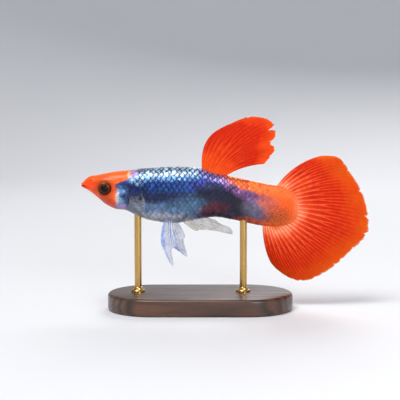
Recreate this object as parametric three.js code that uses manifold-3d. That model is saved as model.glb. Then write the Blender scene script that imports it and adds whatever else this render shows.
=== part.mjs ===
// A life-size display model of a male fancy guppy on a small stand.
// Millimetres, +Z up. The fish faces -X, so its left flank faces -Y.
// The origin is the centre of the stand's underside.
// The fish itself is modelled in its own frame, with the tip of its snout at
// the origin, x running back towards the tail and z up, and is then lifted
// onto the stand as one group.

import * as THREE from "three";
import { mergeVertices } from "three/addons/utils/BufferGeometryUtils.js";
import Module from "manifold-3d";

const wasm = await Module();
wasm.setup();

// Driving dimensions
const FLESH_LENGTH = 30.7; // snout to the rounded end of the scaled tail base
const GAP = 0.3; // kept between neighbouring pieces
const FIN_THICKNESS = 0.5; // of the membrane between two rays
const RAY_HEIGHT = 0.13; // how far a ray stands out on each face of a fin
const BASE_LENGTH = 26;
const BASE_WIDTH = 13;
const BASE_HEIGHT = 2.4;
const TAIL_CLEARANCE = 1.4; // from the base's top to the lowest point of the tail fin
const TAIL_DROP = 13.8; // from the snout's level down to that lowest point
const SNOUT_TO_BASE_CENTRE = 16.7;

const SNOUT = new THREE.Vector3(
  -SNOUT_TO_BASE_CENTRE,
  0,
  BASE_HEIGHT + TAIL_CLEARANCE + TAIL_DROP,
);

// The body's outline and breadth, as [distance from the snout, size]
const backLine = smooth([
  [0, 0.2], [1.2, 1.15], [2.4, 1.38], [4.6, 1.82], [6.9, 2.05], [11.3, 2.38], [14, 2.45],
  [16.4, 2.33], [17.6, 1.93], [18.8, 1.47], [20.3, 1.26], [23.7, 0.55], [26.7, -0.07], [30.7, -0.3],
]);
const bellyLine = smooth([
  [0, -0.3], [1.3, -1.06], [2.7, -2.2], [3.4, -2.8], [4.8, -3.5], [6.2, -3.68], [7.6, -4.31],
  [9.7, -5.04], [13, -5.46], [16, -4.95], [18.8, -4.61], [21.6, -5.05], [25.4, -5.85], [30.7, -6.3],
]);
const halfBreadth = smooth([
  [0, 0.95], [0.6, 1.08], [1.8, 1.42], [3.5, 1.86], [6, 2.14], [11.3, 2.35], [15.8, 2.04],
  [20.3, 1.42], [24.8, 0.96], [28, 0.68], [30.7, 0.42],
]);
// The level of the body's greatest breadth
const widestLevel = smooth([
  [0, -0.05], [3.2, -0.45], [7, -0.85], [13, -1.25], [18.8, -1.65], [22.5, -2.2], [26.7, -3], [30.7, -3.3],
]);
// The head is flat on top, and the trunk is round
const backSquareness = smooth([[0, 2.2], [3, 2.7], [7, 2.4], [12, 2.1]]);
const BELLY_SQUARENESS = 2;
const SNOUT_ROUNDING = 0.45;
const TAIL_ROUNDING_FROM = 26.5;
const TAIL_ROUNDNESS = 2.4;

// The eye
const EYE = { x: 3.29, z: -0.42, radius: 1.02, depth: 0.78, bulge: 0.2 };
const EYE_PUPIL_RADIUS = 0.55;
const ORBIT_RIM = 0.12;

// The mouth slants down from the tip of the snout to its corner
const MOUTH = { cornerX: 1.05, slope: -0.33, lipHeight: 0.34, lipRaised: 0.1 };
const JAW_HEEL = { x: 1.95, z: -2.1 };
const NOSTRIL = { x: 1.5, z: 0.62, radius: 0.17 };

// The gill cover is a raised plate with a rounded rear edge
const GILL_COVER = { x: 5.45, z: -1.8, front: 0.7, rear: 1.16, half: 1.65, thickness: 0.6, raised: 0.08 };

// Where the body is parted by thin cuts across it
const NAPE_CUT = 6.86;
const STALK_CUT = 20.5;

const ROD_RADIUS = 0.5;
const ROD_FERRULE = { radius: 1, height: 0.6 };
const ROD_STATIONS = { front: 7.95, rear: 22.75 };

const SLIVER = 0.004; // edges that lie this close together are merged

const BODY_RINGS = 52;
const BODY_SIDES = 30;

// A smooth curve through [position, value] pairs, level beyond both ends
function smooth(pairs) {
  const last = pairs.length - 1;
  const slope = (k) => {
    const [x0, y0] = pairs[Math.max(k - 1, 0)];
    const [x1, y1] = pairs[Math.min(k + 1, last)];
    return (y1 - y0) / (x1 - x0);
  };
  return (at) => {
    if (at <= pairs[0][0]) return pairs[0][1];
    if (at >= pairs[last][0]) return pairs[last][1];
    const i = pairs.findIndex(([x]) => x >= at) - 1;
    const [x0, y0] = pairs[i];
    const [x1, y1] = pairs[i + 1];
    const span = x1 - x0;
    const t = (at - x0) / span;
    const rise = t * t * (3 - 2 * t);
    return (
      y0 + (y1 - y0) * rise +
      span * slope(i) * t * (1 - t) ** 2 -
      span * slope(i + 1) * t * t * (1 - t)
    );
  };
}

const mix = THREE.MathUtils.lerp;

// How much of its full height and breadth the body has at x: it closes
// round at the snout and at the end of the tail base.
function fullness(x, grow) {
  const nose = 1 - (x + grow) / Math.max(SNOUT_ROUNDING + grow, 0.2);
  if (nose > 0) return Math.sqrt(Math.max(0, 1 - nose * nose));
  const end = FLESH_LENGTH + grow;
  const u = Math.max(0, (x - TAIL_ROUNDING_FROM) / (end - TAIL_ROUNDING_FROM));
  return Math.max(0, 1 - u ** TAIL_ROUNDNESS) ** (1 / TAIL_ROUNDNESS);
}

// The body's section at x, with its surface moved out by grow
function section(x, grow = 0) {
  const inside = THREE.MathUtils.clamp(x, 0, FLESH_LENGTH);
  const full = fullness(x, grow);
  const level = widestLevel(inside);
  return {
    level,
    half: Math.max(halfBreadth(inside) + grow, 0.05) * full,
    up: Math.max(backLine(inside) + grow - level, 0.05) * full,
    down: Math.max(level - bellyLine(inside) + grow, 0.05) * full,
    squareness: backSquareness(inside),
  };
}

// Half the body's breadth at a height z of the section at x
function sideOf(x, z) {
  const s = section(x);
  const [reach, power] = z > s.level ? [s.up, s.squareness] : [s.down, BELLY_SQUARENESS];
  const share = Math.min(1, Math.abs(z - s.level) / reach);
  return s.half * (1 - share ** power) ** (1 / power);
}

// Closed surfaces and solids
function meshOf(points, faces) {
  const geometry = new THREE.BufferGeometry();
  geometry.setAttribute("position", new THREE.Float32BufferAttribute(points.flat(), 3));
  geometry.setIndex(faces.flat());
  return geometry;
}

function solid(geometry) {
  const bare = geometry.clone();
  for (const name of ["normal", "uv"]) bare.deleteAttribute(name);
  const merged = mergeVertices(bare, 1e-5);
  const corners = new Uint32Array(merged.index.array);
  const made = (triVerts) =>
    new wasm.Manifold(
      new wasm.Mesh({ numProp: 3, vertProperties: merged.attributes.position.array, triVerts }),
    );
  const first = made(corners);
  return first.volume() > 0 ? first : made(corners.reverse());
}

// The largest closed surface of a solid, as a geometry without slivers
function largest(made) {
  const outer = made.simplify(SLIVER).decompose().sort((a, b) => b.volume() - a.volume())[0];
  const { vertProperties, triVerts } = outer.getMesh();
  const geometry = new THREE.BufferGeometry();
  geometry.setAttribute("position", new THREE.BufferAttribute(vertProperties.slice(), 3));
  geometry.setIndex(new THREE.BufferAttribute(triVerts.slice(), 1));
  geometry.computeVertexNormals();
  return geometry;
}

// The whole body as one closed loft of rings between two end points. The
// rings lie closest where the snout and the tail base round off.
function body(grow = 0) {
  const from = -grow;
  const to = FLESH_LENGTH + grow;
  const points = [[from, 0, widestLevel(0)]];
  for (let i = 1; i < BODY_RINGS; i++) {
    const x = mix(from, to, (1 - Math.cos((Math.PI * i) / BODY_RINGS)) / 2);
    const s = section(x, grow);
    for (let k = 0; k < BODY_SIDES; k++) {
      const turn = (2 * Math.PI * k) / BODY_SIDES;
      const [c, d] = [Math.cos(turn), Math.sin(turn)];
      const power = 2 / (d > 0 ? s.squareness : BELLY_SQUARENESS);
      const y = s.half * Math.sign(c) * Math.abs(c) ** power;
      const rise = (d > 0 ? s.up : -s.down) * Math.abs(d) ** power;
      points.push([x, y, s.level + rise]);
    }
  }
  points.push([to, 0, widestLevel(FLESH_LENGTH)]);
  const faces = [];
  const end = points.length - 1;
  const at = (ring, k) => 1 + ring * BODY_SIDES + (k % BODY_SIDES);
  for (let k = 0; k < BODY_SIDES; k++) {
    faces.push([0, at(0, k), at(0, k + 1)]);
    for (let ring = 0; ring < BODY_RINGS - 2; ring++) {
      faces.push([at(ring, k), at(ring + 1, k), at(ring + 1, k + 1)]);
      faces.push([at(ring, k), at(ring + 1, k + 1), at(ring, k + 1)]);
    }
    faces.push([end, at(BODY_RINGS - 2, k + 1), at(BODY_RINGS - 2, k)]);
  }
  return solid(meshOf(points, faces));
}

// A prism across the fish, from an outline of [x, z] points seen from its side
function prism(outline, nearY, farY) {
  const shape = new THREE.Shape(outline.map(([x, z]) => new THREE.Vector2(x, z)));
  const geometry = new THREE.ExtrudeGeometry(shape, { depth: farY - nearY, bevelEnabled: false });
  return solid(geometry.rotateX(Math.PI / 2).translate(0, farY, 0));
}

function slab(x0, x1) {
  const tall = 12;
  return prism([[x0, -tall], [x1, -tall], [x1, tall], [x0, tall]], -tall, tall);
}

function ellipsoid(x, y, z, rx, ry, rz, sides) {
  const ball = new THREE.SphereGeometry(1, sides, Math.round(sides / 2));
  return solid(ball.scale(rx, ry, rz).translate(x, y, z));
}

// The mouth's level at x
function mouthLevel(x) {
  return MOUTH.slope * Math.max(0, x);
}

// A lip: a band a little proud of the snout beside the mouth, which tapers to
// the mouth's corner. up is 1 for the upper lip and -1 for the lower.
function lip(up) {
  const edge = (x, share) => [x, mouthLevel(x) + up * (GAP / 2 + share * MOUTH.lipHeight)];
  const corner = MOUTH.cornerX;
  const outline = [edge(-1, 0), edge(0, 0), edge(corner, 0), edge(corner + 0.1, 0.3)];
  outline.push(edge(corner * 0.7, 0.8), edge(corner * 0.3, 1), edge(-1, 1));
  return body(MOUTH.lipRaised).intersect(prism(up > 0 ? outline : outline.reverse(), -4, 4));
}

// The lower jaw's outline from the side, with the mouth and heel moved out by grow
function jawOutline(grow) {
  const top = grow - GAP / 2;
  return [
    [-2, top],
    [0, top],
    [MOUTH.cornerX + grow, mouthLevel(MOUTH.cornerX) + top],
    [JAW_HEEL.x + grow, JAW_HEEL.z],
    [-2, JAW_HEEL.z - 2],
  ];
}

// The gill cover's outline from the side
function gillOutline(grow) {
  const steps = 22;
  return Array.from({ length: steps }, (_, i) => {
    const turn = (2 * Math.PI * i) / steps;
    const reach = Math.cos(turn) > 0 ? GILL_COVER.rear : GILL_COVER.front;
    return [
      GILL_COVER.x + (reach + grow) * Math.cos(turn),
      GILL_COVER.z + (GILL_COVER.half + grow) * Math.sin(turn),
    ];
  });
}

// One side's gill cover: a shell of the body's own shape, a little proud of it
function gillCover(side) {
  const [near, far] = side < 0 ? [-4, -0.4] : [0.4, 4];
  return body(GILL_COVER.raised)
    .intersect(prism(gillOutline(0), near, far))
    .subtract(body(GILL_COVER.raised - GILL_COVER.thickness));
}

// The pocket in the head that the gill cover lies in
function gillPocket(side) {
  const [near, far] = side < 0 ? [-4, -0.1] : [0.1, 4];
  return prism(gillOutline(GAP), near, far).subtract(
    body(GILL_COVER.raised - GILL_COVER.thickness - GAP),
  );
}

// The eyeball is a flattened ball with a clear bulge over the pupil
function eye(side) {
  const back = 7;
  const profile = [];
  for (let i = 0; i <= back; i++) {
    const turn = (Math.PI / 2) * (i / back);
    profile.push(new THREE.Vector2(EYE.radius * Math.sin(turn), -EYE.depth * Math.cos(turn)));
  }
  profile.push(new THREE.Vector2(EYE.radius * 0.9, 0.24));
  profile.push(new THREE.Vector2(EYE_PUPIL_RADIUS + 0.1, 0.44));
  profile.push(new THREE.Vector2(EYE_PUPIL_RADIUS, 0.5));
  profile.push(new THREE.Vector2(EYE_PUPIL_RADIUS * 0.6, 0.44 + EYE.bulge));
  profile.push(new THREE.Vector2(0, 0.5 + EYE.bulge));
  const ball = new THREE.LatheGeometry(profile, 20);
  if (side < 0) ball.rotateX(Math.PI);
  return solid(ball).translate([EYE.x, side * eyeMiddle(), EYE.z]);
}

// How far from the mid-plane the middle of the eyeball lies
function eyeMiddle() {
  return sideOf(EYE.x, EYE.z) - 0.5;
}

function eyeSocket(side) {
  return ellipsoid(
    EYE.x, side * eyeMiddle(), EYE.z,
    EYE.radius + GAP, EYE.depth + GAP, EYE.radius + GAP, 24,
  );
}

function orbitRim(side) {
  const rim = new THREE.TorusGeometry(EYE.radius + GAP + 0.05, ORBIT_RIM, 6, 24);
  rim.rotateX(Math.PI / 2);
  return solid(rim).translate([EYE.x, side * (eyeMiddle() + 0.3), EYE.z]);
}

function nostril(side) {
  const y = side * sideOf(NOSTRIL.x, NOSTRIL.z);
  return ellipsoid(NOSTRIL.x, y, NOSTRIL.z, NOSTRIL.radius * 1.3, 0.2, NOSTRIL.radius, 10);
}

// Small random shares for the ragged fin edges, the same on every run
function seeded(seed) {
  let state = seed;
  return () => {
    state = (state * 1103515245 + 12345) % 2147483648;
    return state / 2147483648;
  };
}

// Each ray of a fin is a ridge that forks towards the margin. These are the
// lines that make up one ray, as shares of the distance to the next ray.
const RAY_LINES = [
  { at: -0.22, height: () => 1, reach: 1 },
  { at: 0, height: (t) => 1 - 0.9 * THREE.MathUtils.smoothstep(t, 0.3, 0.6), reach: 0.4 },
  { at: 0.22, height: () => 1, reach: 1 },
];
const VALLEY_LINE = { at: 0.5, height: () => 0, reach: 0 };
const MARGIN_THINNING = 0.6;

// A fin is a thin plate whose rays fan out from a root line to the margin.
// keys are a few of its rays, each a root, a bend and a tip that one smooth
// curve joins, and the surface between them is drawn through all of them.
// notch is how deep the margin is cut between two ray tips, as a share of
// the ray's length, and sway is how far the fin leans to one side.
function fin({ keys, rays, rows, notch, seed, sway = () => 0 }) {
  const line = (part) => new THREE.CatmullRomCurve3(keys.map((key) => key[part]));
  const [roots, bends, tips] = ["root", "bend", "tip"].map(line);
  const middle = (s, t) => {
    const ray = [roots, bends, tips].map((curve) => curve.getPoint(s));
    const point = new THREE.QuadraticBezierCurve3(...ray).getPoint(t);
    point.y += sway(s, t);
    return point;
  };
  const random = seeded(seed);
  const pitch = 1 / rays;
  const columns = [{ s: 0, height: () => 0.5, reach: 1 - notch / 2 }];
  for (let ray = 0; ray < rays; ray++) {
    const lines = ray < rays - 1 ? [...RAY_LINES, VALLEY_LINE] : RAY_LINES;
    for (const { at, height, reach } of lines) {
      const cut = notch * (1 - reach + 0.5 * random() * reach);
      columns.push({ s: (ray + 0.5 + at) * pitch, height, reach: 1 - cut });
    }
  }
  columns.push({ s: 1, height: () => 0.5, reach: 1 - notch / 2 });
  const faceOf = (side) =>
    columns.flatMap(({ s, height, reach }) =>
      Array.from({ length: rows + 1 }, (_, row) => {
        const t = (row / rows) * reach;
        const step = 0.004;
        const [s0, s1] = [Math.max(0, s - step), Math.min(1, s + step)];
        const [t0, t1] = [Math.max(0, t - step), Math.min(1, t + step)];
        const across = middle(s1, t).sub(middle(s0, t));
        const along = middle(s, t1).sub(middle(s, t0));
        const out = across.cross(along).normalize();
        const thinning = row === rows ? MARGIN_THINNING : 1;
        const half = (FIN_THICKNESS / 2 + RAY_HEIGHT * height(t)) * thinning;
        return middle(s, t).addScaledVector(out, side * half).toArray();
      }),
    );
  const points = [...faceOf(1), ...faceOf(-1)];
  const size = points.length / 2;
  const last = columns.length - 1;
  const at = (face, column, row) => face * size + column * (rows + 1) + row;
  const faces = [];
  const wall = (a, b, c, d) => faces.push([a, b, c], [a, c, d]);
  for (let column = 0; column < last; column++) {
    for (let row = 0; row < rows; row++) {
      const [a, b] = [at(0, column, row), at(0, column + 1, row)];
      const [c, d] = [at(0, column + 1, row + 1), at(0, column, row + 1)];
      wall(a, b, c, d);
      faces.push([a + size, c + size, b + size], [a + size, d + size, c + size]);
    }
    wall(at(1, column, 0), at(1, column + 1, 0), at(0, column + 1, 0), at(0, column, 0));
    wall(at(0, column, rows), at(0, column + 1, rows), at(1, column + 1, rows), at(1, column, rows));
  }
  for (let row = 0; row < rows; row++) {
    wall(at(0, 0, row), at(0, 0, row + 1), at(1, 0, row + 1), at(1, 0, row));
    wall(at(1, last, row), at(1, last, row + 1), at(0, last, row + 1), at(0, last, row));
  }
  return solid(meshOf(points, faces));
}

// A key ray in the mid-plane, from [x, z] pairs
function midRay([rootX, rootZ], [bendX, bendZ], [tipX, tipZ]) {
  return {
    root: new THREE.Vector3(rootX, 0, rootZ),
    bend: new THREE.Vector3(bendX, 0, bendZ),
    tip: new THREE.Vector3(tipX, 0, tipZ),
  };
}

// The dorsal fin sweeps back from a short base on the back
function dorsalFin() {
  const base = { front: 17, rear: 19.6, sunk: 0.7 };
  const rays = [
    { bend: [16.3, 6.6], tip: [19.9, 7.9] },
    { bend: [17.4, 6.8], tip: [22.3, 9.05] },
    { bend: [19, 6.7], tip: [24.2, 9.5] },
    { bend: [20.9, 6.4], tip: [26.7, 8.85] },
    { bend: [21.6, 5.5], tip: [27.3, 6.9] },
    { bend: [21.9, 4.8], tip: [26.6, 5.75] },
    { bend: [22.1, 4.1], tip: [27.2, 4.85] },
    { bend: [22, 2.6], tip: [25.7, 2.85] },
  ];
  const keys = rays.map(({ bend, tip }, i) => {
    const x = mix(base.front, base.rear, i / (rays.length - 1));
    return midRay([x, backLine(x) - base.sunk], bend, tip);
  });
  const sway = (s, t) => 0.35 * t * t * Math.sin(5 * s + 0.4);
  return fin({ keys, rays: 9, rows: 10, notch: 0.05, seed: 7, sway });
}

// The tail fin is a wide fan round the end of the tail base. Its margin is
// given by how far it reaches from the fan's centre at each angle, in degrees
// above the level. The rays spread a little less at their tips than at their roots.
const FAN = {
  x: 26.18,
  z: -3.15,
  rootRadius: 3.05,
  rootAngles: [70, -107],
  bendAngles: [62, -97],
  tipAngles: [43, -85],
  arch: 0.2,
};
const TAIL_LEAN = 1.1;
const TAIL_WAVE = 0.3;
const fanReach = smooth([
  [-85, 8.3], [-77, 9.9], [-68, 11.5], [-60, 12.2], [-48, 12.6], [-29, 13.4], [-15, 14.7],
  [-8, 14.5], [6, 13.65], [21, 12.7], [34, 12.15], [43, 10.3],
]);

function tailFin() {
  const polar = (degrees, radius) => {
    const turn = THREE.MathUtils.degToRad(degrees);
    return [FAN.x + radius * Math.cos(turn), FAN.z + radius * Math.sin(turn)];
  };
  const steps = 24;
  const keys = Array.from({ length: steps + 1 }, (_, i) => {
    const s = i / steps;
    const tipAngle = mix(...FAN.tipAngles, s);
    const reach = fanReach(tipAngle);
    return midRay(
      polar(mix(...FAN.rootAngles, s), FAN.rootRadius),
      polar(mix(...FAN.bendAngles, s), (reach + FAN.rootRadius) / 2 + FAN.arch),
      polar(tipAngle, reach),
    );
  });
  const sway = (s, t) => t * t * (TAIL_LEAN + TAIL_WAVE * Math.sin(9 * s));
  return fin({ keys, rays: 19, rows: 9, notch: 0.03, seed: 3, sway });
}

// The anal fin trails back under the belly, drawn out to a point
function analFin() {
  const base = { front: 13.7, rear: 17.4, sunk: 0.6 };
  const rays = [
    { bend: [15, -6.1], tip: [16.1, -6.6] },
    { bend: [15.8, -5.95], tip: [17.2, -6.45] },
    { bend: [16.9, -5.95], tip: [19, -6.6] },
    { bend: [18.5, -6], tip: [21.3, -7.05] },
    { bend: [18.6, -5.5], tip: [21, -6.15] },
    { bend: [18.2, -5.25], tip: [19.6, -5.55] },
    { bend: [18, -5], tip: [18.8, -4.95] },
  ];
  const keys = rays.map(({ bend, tip }, i) => {
    const x = mix(base.front, base.rear, i / (rays.length - 1));
    return midRay([x, bellyLine(x) + base.sunk], bend, tip);
  });
  return fin({ keys, rays: 6, rows: 8, notch: 0.05, seed: 11 });
}

// A pelvic fin hangs from the belly, with one ray drawn out to a long point.
// The two fins are held a little differently, so each has its own rays.
function pelvicFin(side, rays) {
  const root = { y: 0.85, sunk: 0.75, splay: 0.75 };
  const keys = rays.map(({ rootX, bend, tip }) => ({
    root: new THREE.Vector3(rootX, side * root.y, bellyLine(rootX) + root.sunk),
    bend: new THREE.Vector3(bend[0], side * (root.y + 0.3 * root.splay), bend[1]),
    tip: new THREE.Vector3(tip[0], side * (root.y + root.splay), tip[1]),
  }));
  return fin({ keys, rays: rays.length, rows: 8, notch: 0.04, seed: 5 });
}

const LEFT_PELVIC_RAYS = [
  { rootX: 11.75, bend: [11.05, -6.8], tip: [11.3, -8.3] },
  { rootX: 11.95, bend: [11.4, -8.4], tip: [12.65, -11.2] },
  { rootX: 12.1, bend: [11.9, -8.3], tip: [13, -11] },
  { rootX: 12.4, bend: [12.3, -7.6], tip: [12.7, -9.2] },
  { rootX: 12.75, bend: [13, -7.2], tip: [13.4, -8.7] },
];
const RIGHT_PELVIC_RAYS = [
  { rootX: 12.2, bend: [12, -7.3], tip: [12.6, -8.9] },
  { rootX: 12.45, bend: [13, -8.4], tip: [14.6, -10.4] },
  { rootX: 12.65, bend: [13.4, -8.2], tip: [14.9, -10.2] },
  { rootX: 12.9, bend: [13.8, -7], tip: [14.35, -8.4] },
  { rootX: 13.2, bend: [14.1, -6.2], tip: [14.6, -7.5] },
];

// A pectoral fin is a rounded fan held out and back from behind the gills
function pectoralFin(side) {
  const root = { x: 7.3, z: -2.2, half: 0.5, sunk: 0.4 };
  const held = { back: 1.9, out: 2, down: 0.35, fan: 1.25 };
  const count = 7;
  const keys = Array.from({ length: count }, (_, i) => {
    const across = mix(1, -1, i / (count - 1));
    const z = root.z + across * root.half;
    const out = sideOf(root.x, z);
    const reach = 1 - 0.25 * across * across;
    const place = (share) =>
      new THREE.Vector3(
        root.x + held.back * reach * share,
        side * (out + held.out * reach * share ** 1.3),
        z + reach * share * (held.fan * across - held.down),
      );
    return {
      root: new THREE.Vector3(root.x - 0.2, side * (out - root.sunk), z),
      bend: place(0.5),
      tip: place(1),
    };
  });
  return fin({ keys, rays: 6, rows: 6, notch: 0.03, seed: 13 });
}

// The stand's base is a stadium-shaped plate with chamfered edges
function standBase() {
  const chamfer = 0.5;
  const radius = BASE_WIDTH / 2 - chamfer;
  const reach = BASE_LENGTH / 2 - chamfer - radius;
  const outline = new THREE.Shape();
  outline.absarc(reach, 0, radius, -Math.PI / 2, Math.PI / 2);
  outline.absarc(-reach, 0, radius, Math.PI / 2, (3 * Math.PI) / 2);
  const geometry = new THREE.ExtrudeGeometry(outline, {
    depth: BASE_HEIGHT - 2 * chamfer,
    bevelSize: chamfer,
    bevelThickness: chamfer,
    bevelSegments: 1,
    curveSegments: 14,
  });
  return solid(geometry.translate(0, 0, chamfer));
}

// A rod stands on the base on a small ferrule and ends under the belly
function standRod(x) {
  const foot = BASE_HEIGHT + GAP;
  const top = SNOUT.z + bellyLine(x) + 0.5;
  const profile = [
    [0, foot],
    [ROD_FERRULE.radius, foot],
    [ROD_FERRULE.radius, foot + ROD_FERRULE.height * 0.6],
    [ROD_RADIUS, foot + ROD_FERRULE.height],
    [ROD_RADIUS, top],
    [0, top],
  ].map(([radius, height]) => new THREE.Vector2(radius, height));
  const rod = new THREE.LatheGeometry(profile, 16).rotateX(Math.PI / 2);
  return solid(rod).translate([x + SNOUT.x, 0, 0]).subtract(body(GAP).translate(SNOUT.toArray()));
}

// Parts and their colours
const FINISHES = {
  head: [0xff5a1e, 0.35],
  gill: [0x8fa8c8, 0.3],
  flank: [0x2c4f9a, 0.3],
  stalk: [0xc2622f, 0.35],
  eye: [0x2a1208, 0.08],
  redFin: [0xe8380e, 0.45],
  clearFin: [0xb9bcc2, 0.3],
  stand: [0x2a1a12, 0.4],
  rod: [0xb08d4a, 0.3],
};

function named(name, made, finish) {
  const [color, roughness] = FINISHES[finish];
  const metalness = finish === "rod" ? 0.9 : 0;
  const mesh = new THREE.Mesh(
    largest(made),
    new THREE.MeshStandardMaterial({ color, roughness, metalness }),
  );
  mesh.name = name;
  return mesh;
}

function fish() {
  const whole = body();
  const clear = body(GAP);
  const halfCut = GAP / 2;
  const jaw = whole.intersect(prism(jawOutline(0), -4, 4)).add(lip(-1));
  const head = whole
    .intersect(slab(-3, NAPE_CUT - halfCut))
    .add(lip(1))
    .add(orbitRim(-1))
    .add(orbitRim(1))
    .subtract(prism(jawOutline(GAP), -4, 4));
  const hollows = [-1, 1].flatMap((side) => [eyeSocket(side), gillPocket(side), nostril(side)]);
  const trunk = whole.intersect(slab(NAPE_CUT + halfCut, STALK_CUT - halfCut));
  const stalk = whole.intersect(slab(STALK_CUT + halfCut, FLESH_LENGTH + 1));
  const group = new THREE.Group();
  group.add(
    named("head", hollows.reduce((made, hollow) => made.subtract(hollow), head), "head"),
    named("lower_jaw", jaw, "head"),
    named("trunk", trunk, "flank"),
    named("tail_stalk", stalk, "stalk"),
    named("dorsal_fin", dorsalFin().subtract(clear), "redFin"),
    named("tail_fin", tailFin().subtract(clear), "redFin"),
    named("anal_fin", analFin().subtract(clear), "clearFin"),
    named("pelvic_fin_left", pelvicFin(-1, LEFT_PELVIC_RAYS).subtract(clear), "clearFin"),
    named("pelvic_fin_right", pelvicFin(1, RIGHT_PELVIC_RAYS).subtract(clear), "clearFin"),
  );
  for (const [side, word] of [[-1, "left"], [1, "right"]]) {
    group.add(
      named(`eye_${word}`, eye(side), "eye"),
      named(`gill_cover_${word}`, gillCover(side), "gill"),
      named(`pectoral_fin_${word}`, pectoralFin(side).subtract(clear), "clearFin"),
    );
  }
  group.position.copy(SNOUT);
  return group;
}

function stand() {
  const group = new THREE.Group();
  group.add(
    named("stand_base", standBase(), "stand"),
    named("stand_rod_front", standRod(ROD_STATIONS.front), "rod"),
    named("stand_rod_rear", standRod(ROD_STATIONS.rear), "rod"),
  );
  return group;
}

const guppy = new THREE.Group();
guppy.add(fish(), stand());

export default guppy;
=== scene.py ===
import itertools
import math
import random

import bmesh
import bpy
import numpy as np
from bpy.props import FloatProperty, FloatVectorProperty, IntProperty, PointerProperty
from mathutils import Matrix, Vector


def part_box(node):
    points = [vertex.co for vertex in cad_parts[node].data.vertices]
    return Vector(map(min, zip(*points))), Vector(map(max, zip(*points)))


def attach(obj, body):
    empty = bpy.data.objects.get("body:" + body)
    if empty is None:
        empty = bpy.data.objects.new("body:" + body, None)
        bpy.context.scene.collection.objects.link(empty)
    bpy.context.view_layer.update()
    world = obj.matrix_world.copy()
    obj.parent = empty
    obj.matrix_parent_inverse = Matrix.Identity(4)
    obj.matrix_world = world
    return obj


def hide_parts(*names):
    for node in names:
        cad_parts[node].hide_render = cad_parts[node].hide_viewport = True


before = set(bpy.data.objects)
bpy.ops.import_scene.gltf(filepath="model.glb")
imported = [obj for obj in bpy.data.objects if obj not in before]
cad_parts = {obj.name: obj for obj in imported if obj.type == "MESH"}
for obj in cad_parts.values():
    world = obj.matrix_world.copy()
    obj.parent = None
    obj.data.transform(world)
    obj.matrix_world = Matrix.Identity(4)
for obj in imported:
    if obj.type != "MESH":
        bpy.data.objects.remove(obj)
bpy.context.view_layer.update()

bl_info = {
    "name": "Fancy guppy on a display stand",
    "version": (1, 0, 0),
    "blender": (4, 5, 0),
    "location": "View3D > Sidebar > Guppy",
    "description": "Builds a life-size male guppy with its scales, fins, eyes and stand",
    "category": "Object",
}

# The fish has a frame of its own: millimetres from the tip of its snout, x
# back towards the tail, y to its right and z up.
MM = 0.001
TRUNK_FRONT = 7.01
BACK_RISE = 2.45
TRUNK_LOW, TRUNK_HIGH = (Vector(corner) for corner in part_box("trunk"))
SNOUT = np.array((TRUNK_LOW.x - TRUNK_FRONT * MM, 0, TRUNK_HIGH.z - BACK_RISE * MM))
STAND_LOW, STAND_HIGH = (Vector(corner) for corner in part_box("stand_base"))

FLESH_LENGTH = 30.7
SNOUT_ROUNDING = 0.45
TAIL_ROUNDING_FROM = 26.5
TAIL_ROUNDNESS = 2.4
BELLY_SQUARENESS = 2
SKIN_INSET = 0.07  # the skin lies this far inside the solids, under the scales

EYE = {"x": 3.46, "z": -0.5, "radius": 0.96, "sunk": 0.5, "lens": 0.5}
MOUTH = {"corner": 1.05, "slope": -0.33, "lip": 0.19}
NOSTRIL = {"x": 1.5, "z": 0.62, "radius": 0.13}
GILL = {"x": 5.45, "z": -1.8, "front": 0.75, "rear": 1.2, "half": 1.65}
NARROWING = {"share": 0.3, "length": 1.5}  # of the snout, seen from above
# How far each feature stands out of the skin, or sinks into it
RELIEF = {
    "socket": -0.75, "lid": 0.07, "brow": 0.08, "lips": 0.085, "slit": -0.2,
    "nostril": -0.14, "nostril_rim": 0.02, "gill_plate": 0.13, "gill_slot": -0.16,
    "cheek_fold": -0.05, "cheek": 0.03, "jaw_fold": -0.06,
}

SKIN_RINGS = 360
SKIN_SIDES = 168


def paint(red, green, blue):
    """A colour given as it looks on screen, 0 to 255, in the linear form that shaders take."""
    def channel(value):
        share = value / 255
        return share / 12.92 if share <= 0.04045 else ((share + 0.055) / 1.055) ** 2.4
    return (channel(red), channel(green), channel(blue), 1.0)


class GuppySettings(bpy.types.PropertyGroup):
    """Sizes and colours that can be changed before the model is built."""

    scale_pitch: FloatProperty(
        name="Scale pitch", description="Distance from one column of scales to the next, in millimetres",
        default=0.36, min=0.3, max=2,
    )
    scale_rows: IntProperty(
        name="Scales round the body", description="Number of scales in one column, both sides together",
        default=18, min=8, max=60,
    )
    ray_relief: FloatProperty(
        name="Ray relief", description="How far a fin ray stands out of the membrane, in millimetres",
        default=0.07, min=0, max=0.2,
    )
    fin_red: FloatVectorProperty(
        name="Fin red", description="The fins between their rays", subtype="COLOR", size=4,
        min=0, max=1, default=paint(196, 36, 4),
    )
    fin_orange: FloatVectorProperty(
        name="Fin orange", description="The margin of the red fins", subtype="COLOR", size=4,
        min=0, max=1, default=paint(214, 92, 8),
    )
    wood: FloatVectorProperty(
        name="Wood", description="The stand's base", subtype="COLOR", size=4,
        min=0, max=1, default=paint(74, 44, 28),
    )
    camera_height: FloatProperty(
        name="Camera height", description="How far the camera looks down", subtype="ANGLE",
        default=math.radians(4.5), min=0, max=1.5,
    )


# Curves and surfaces of the body


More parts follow.
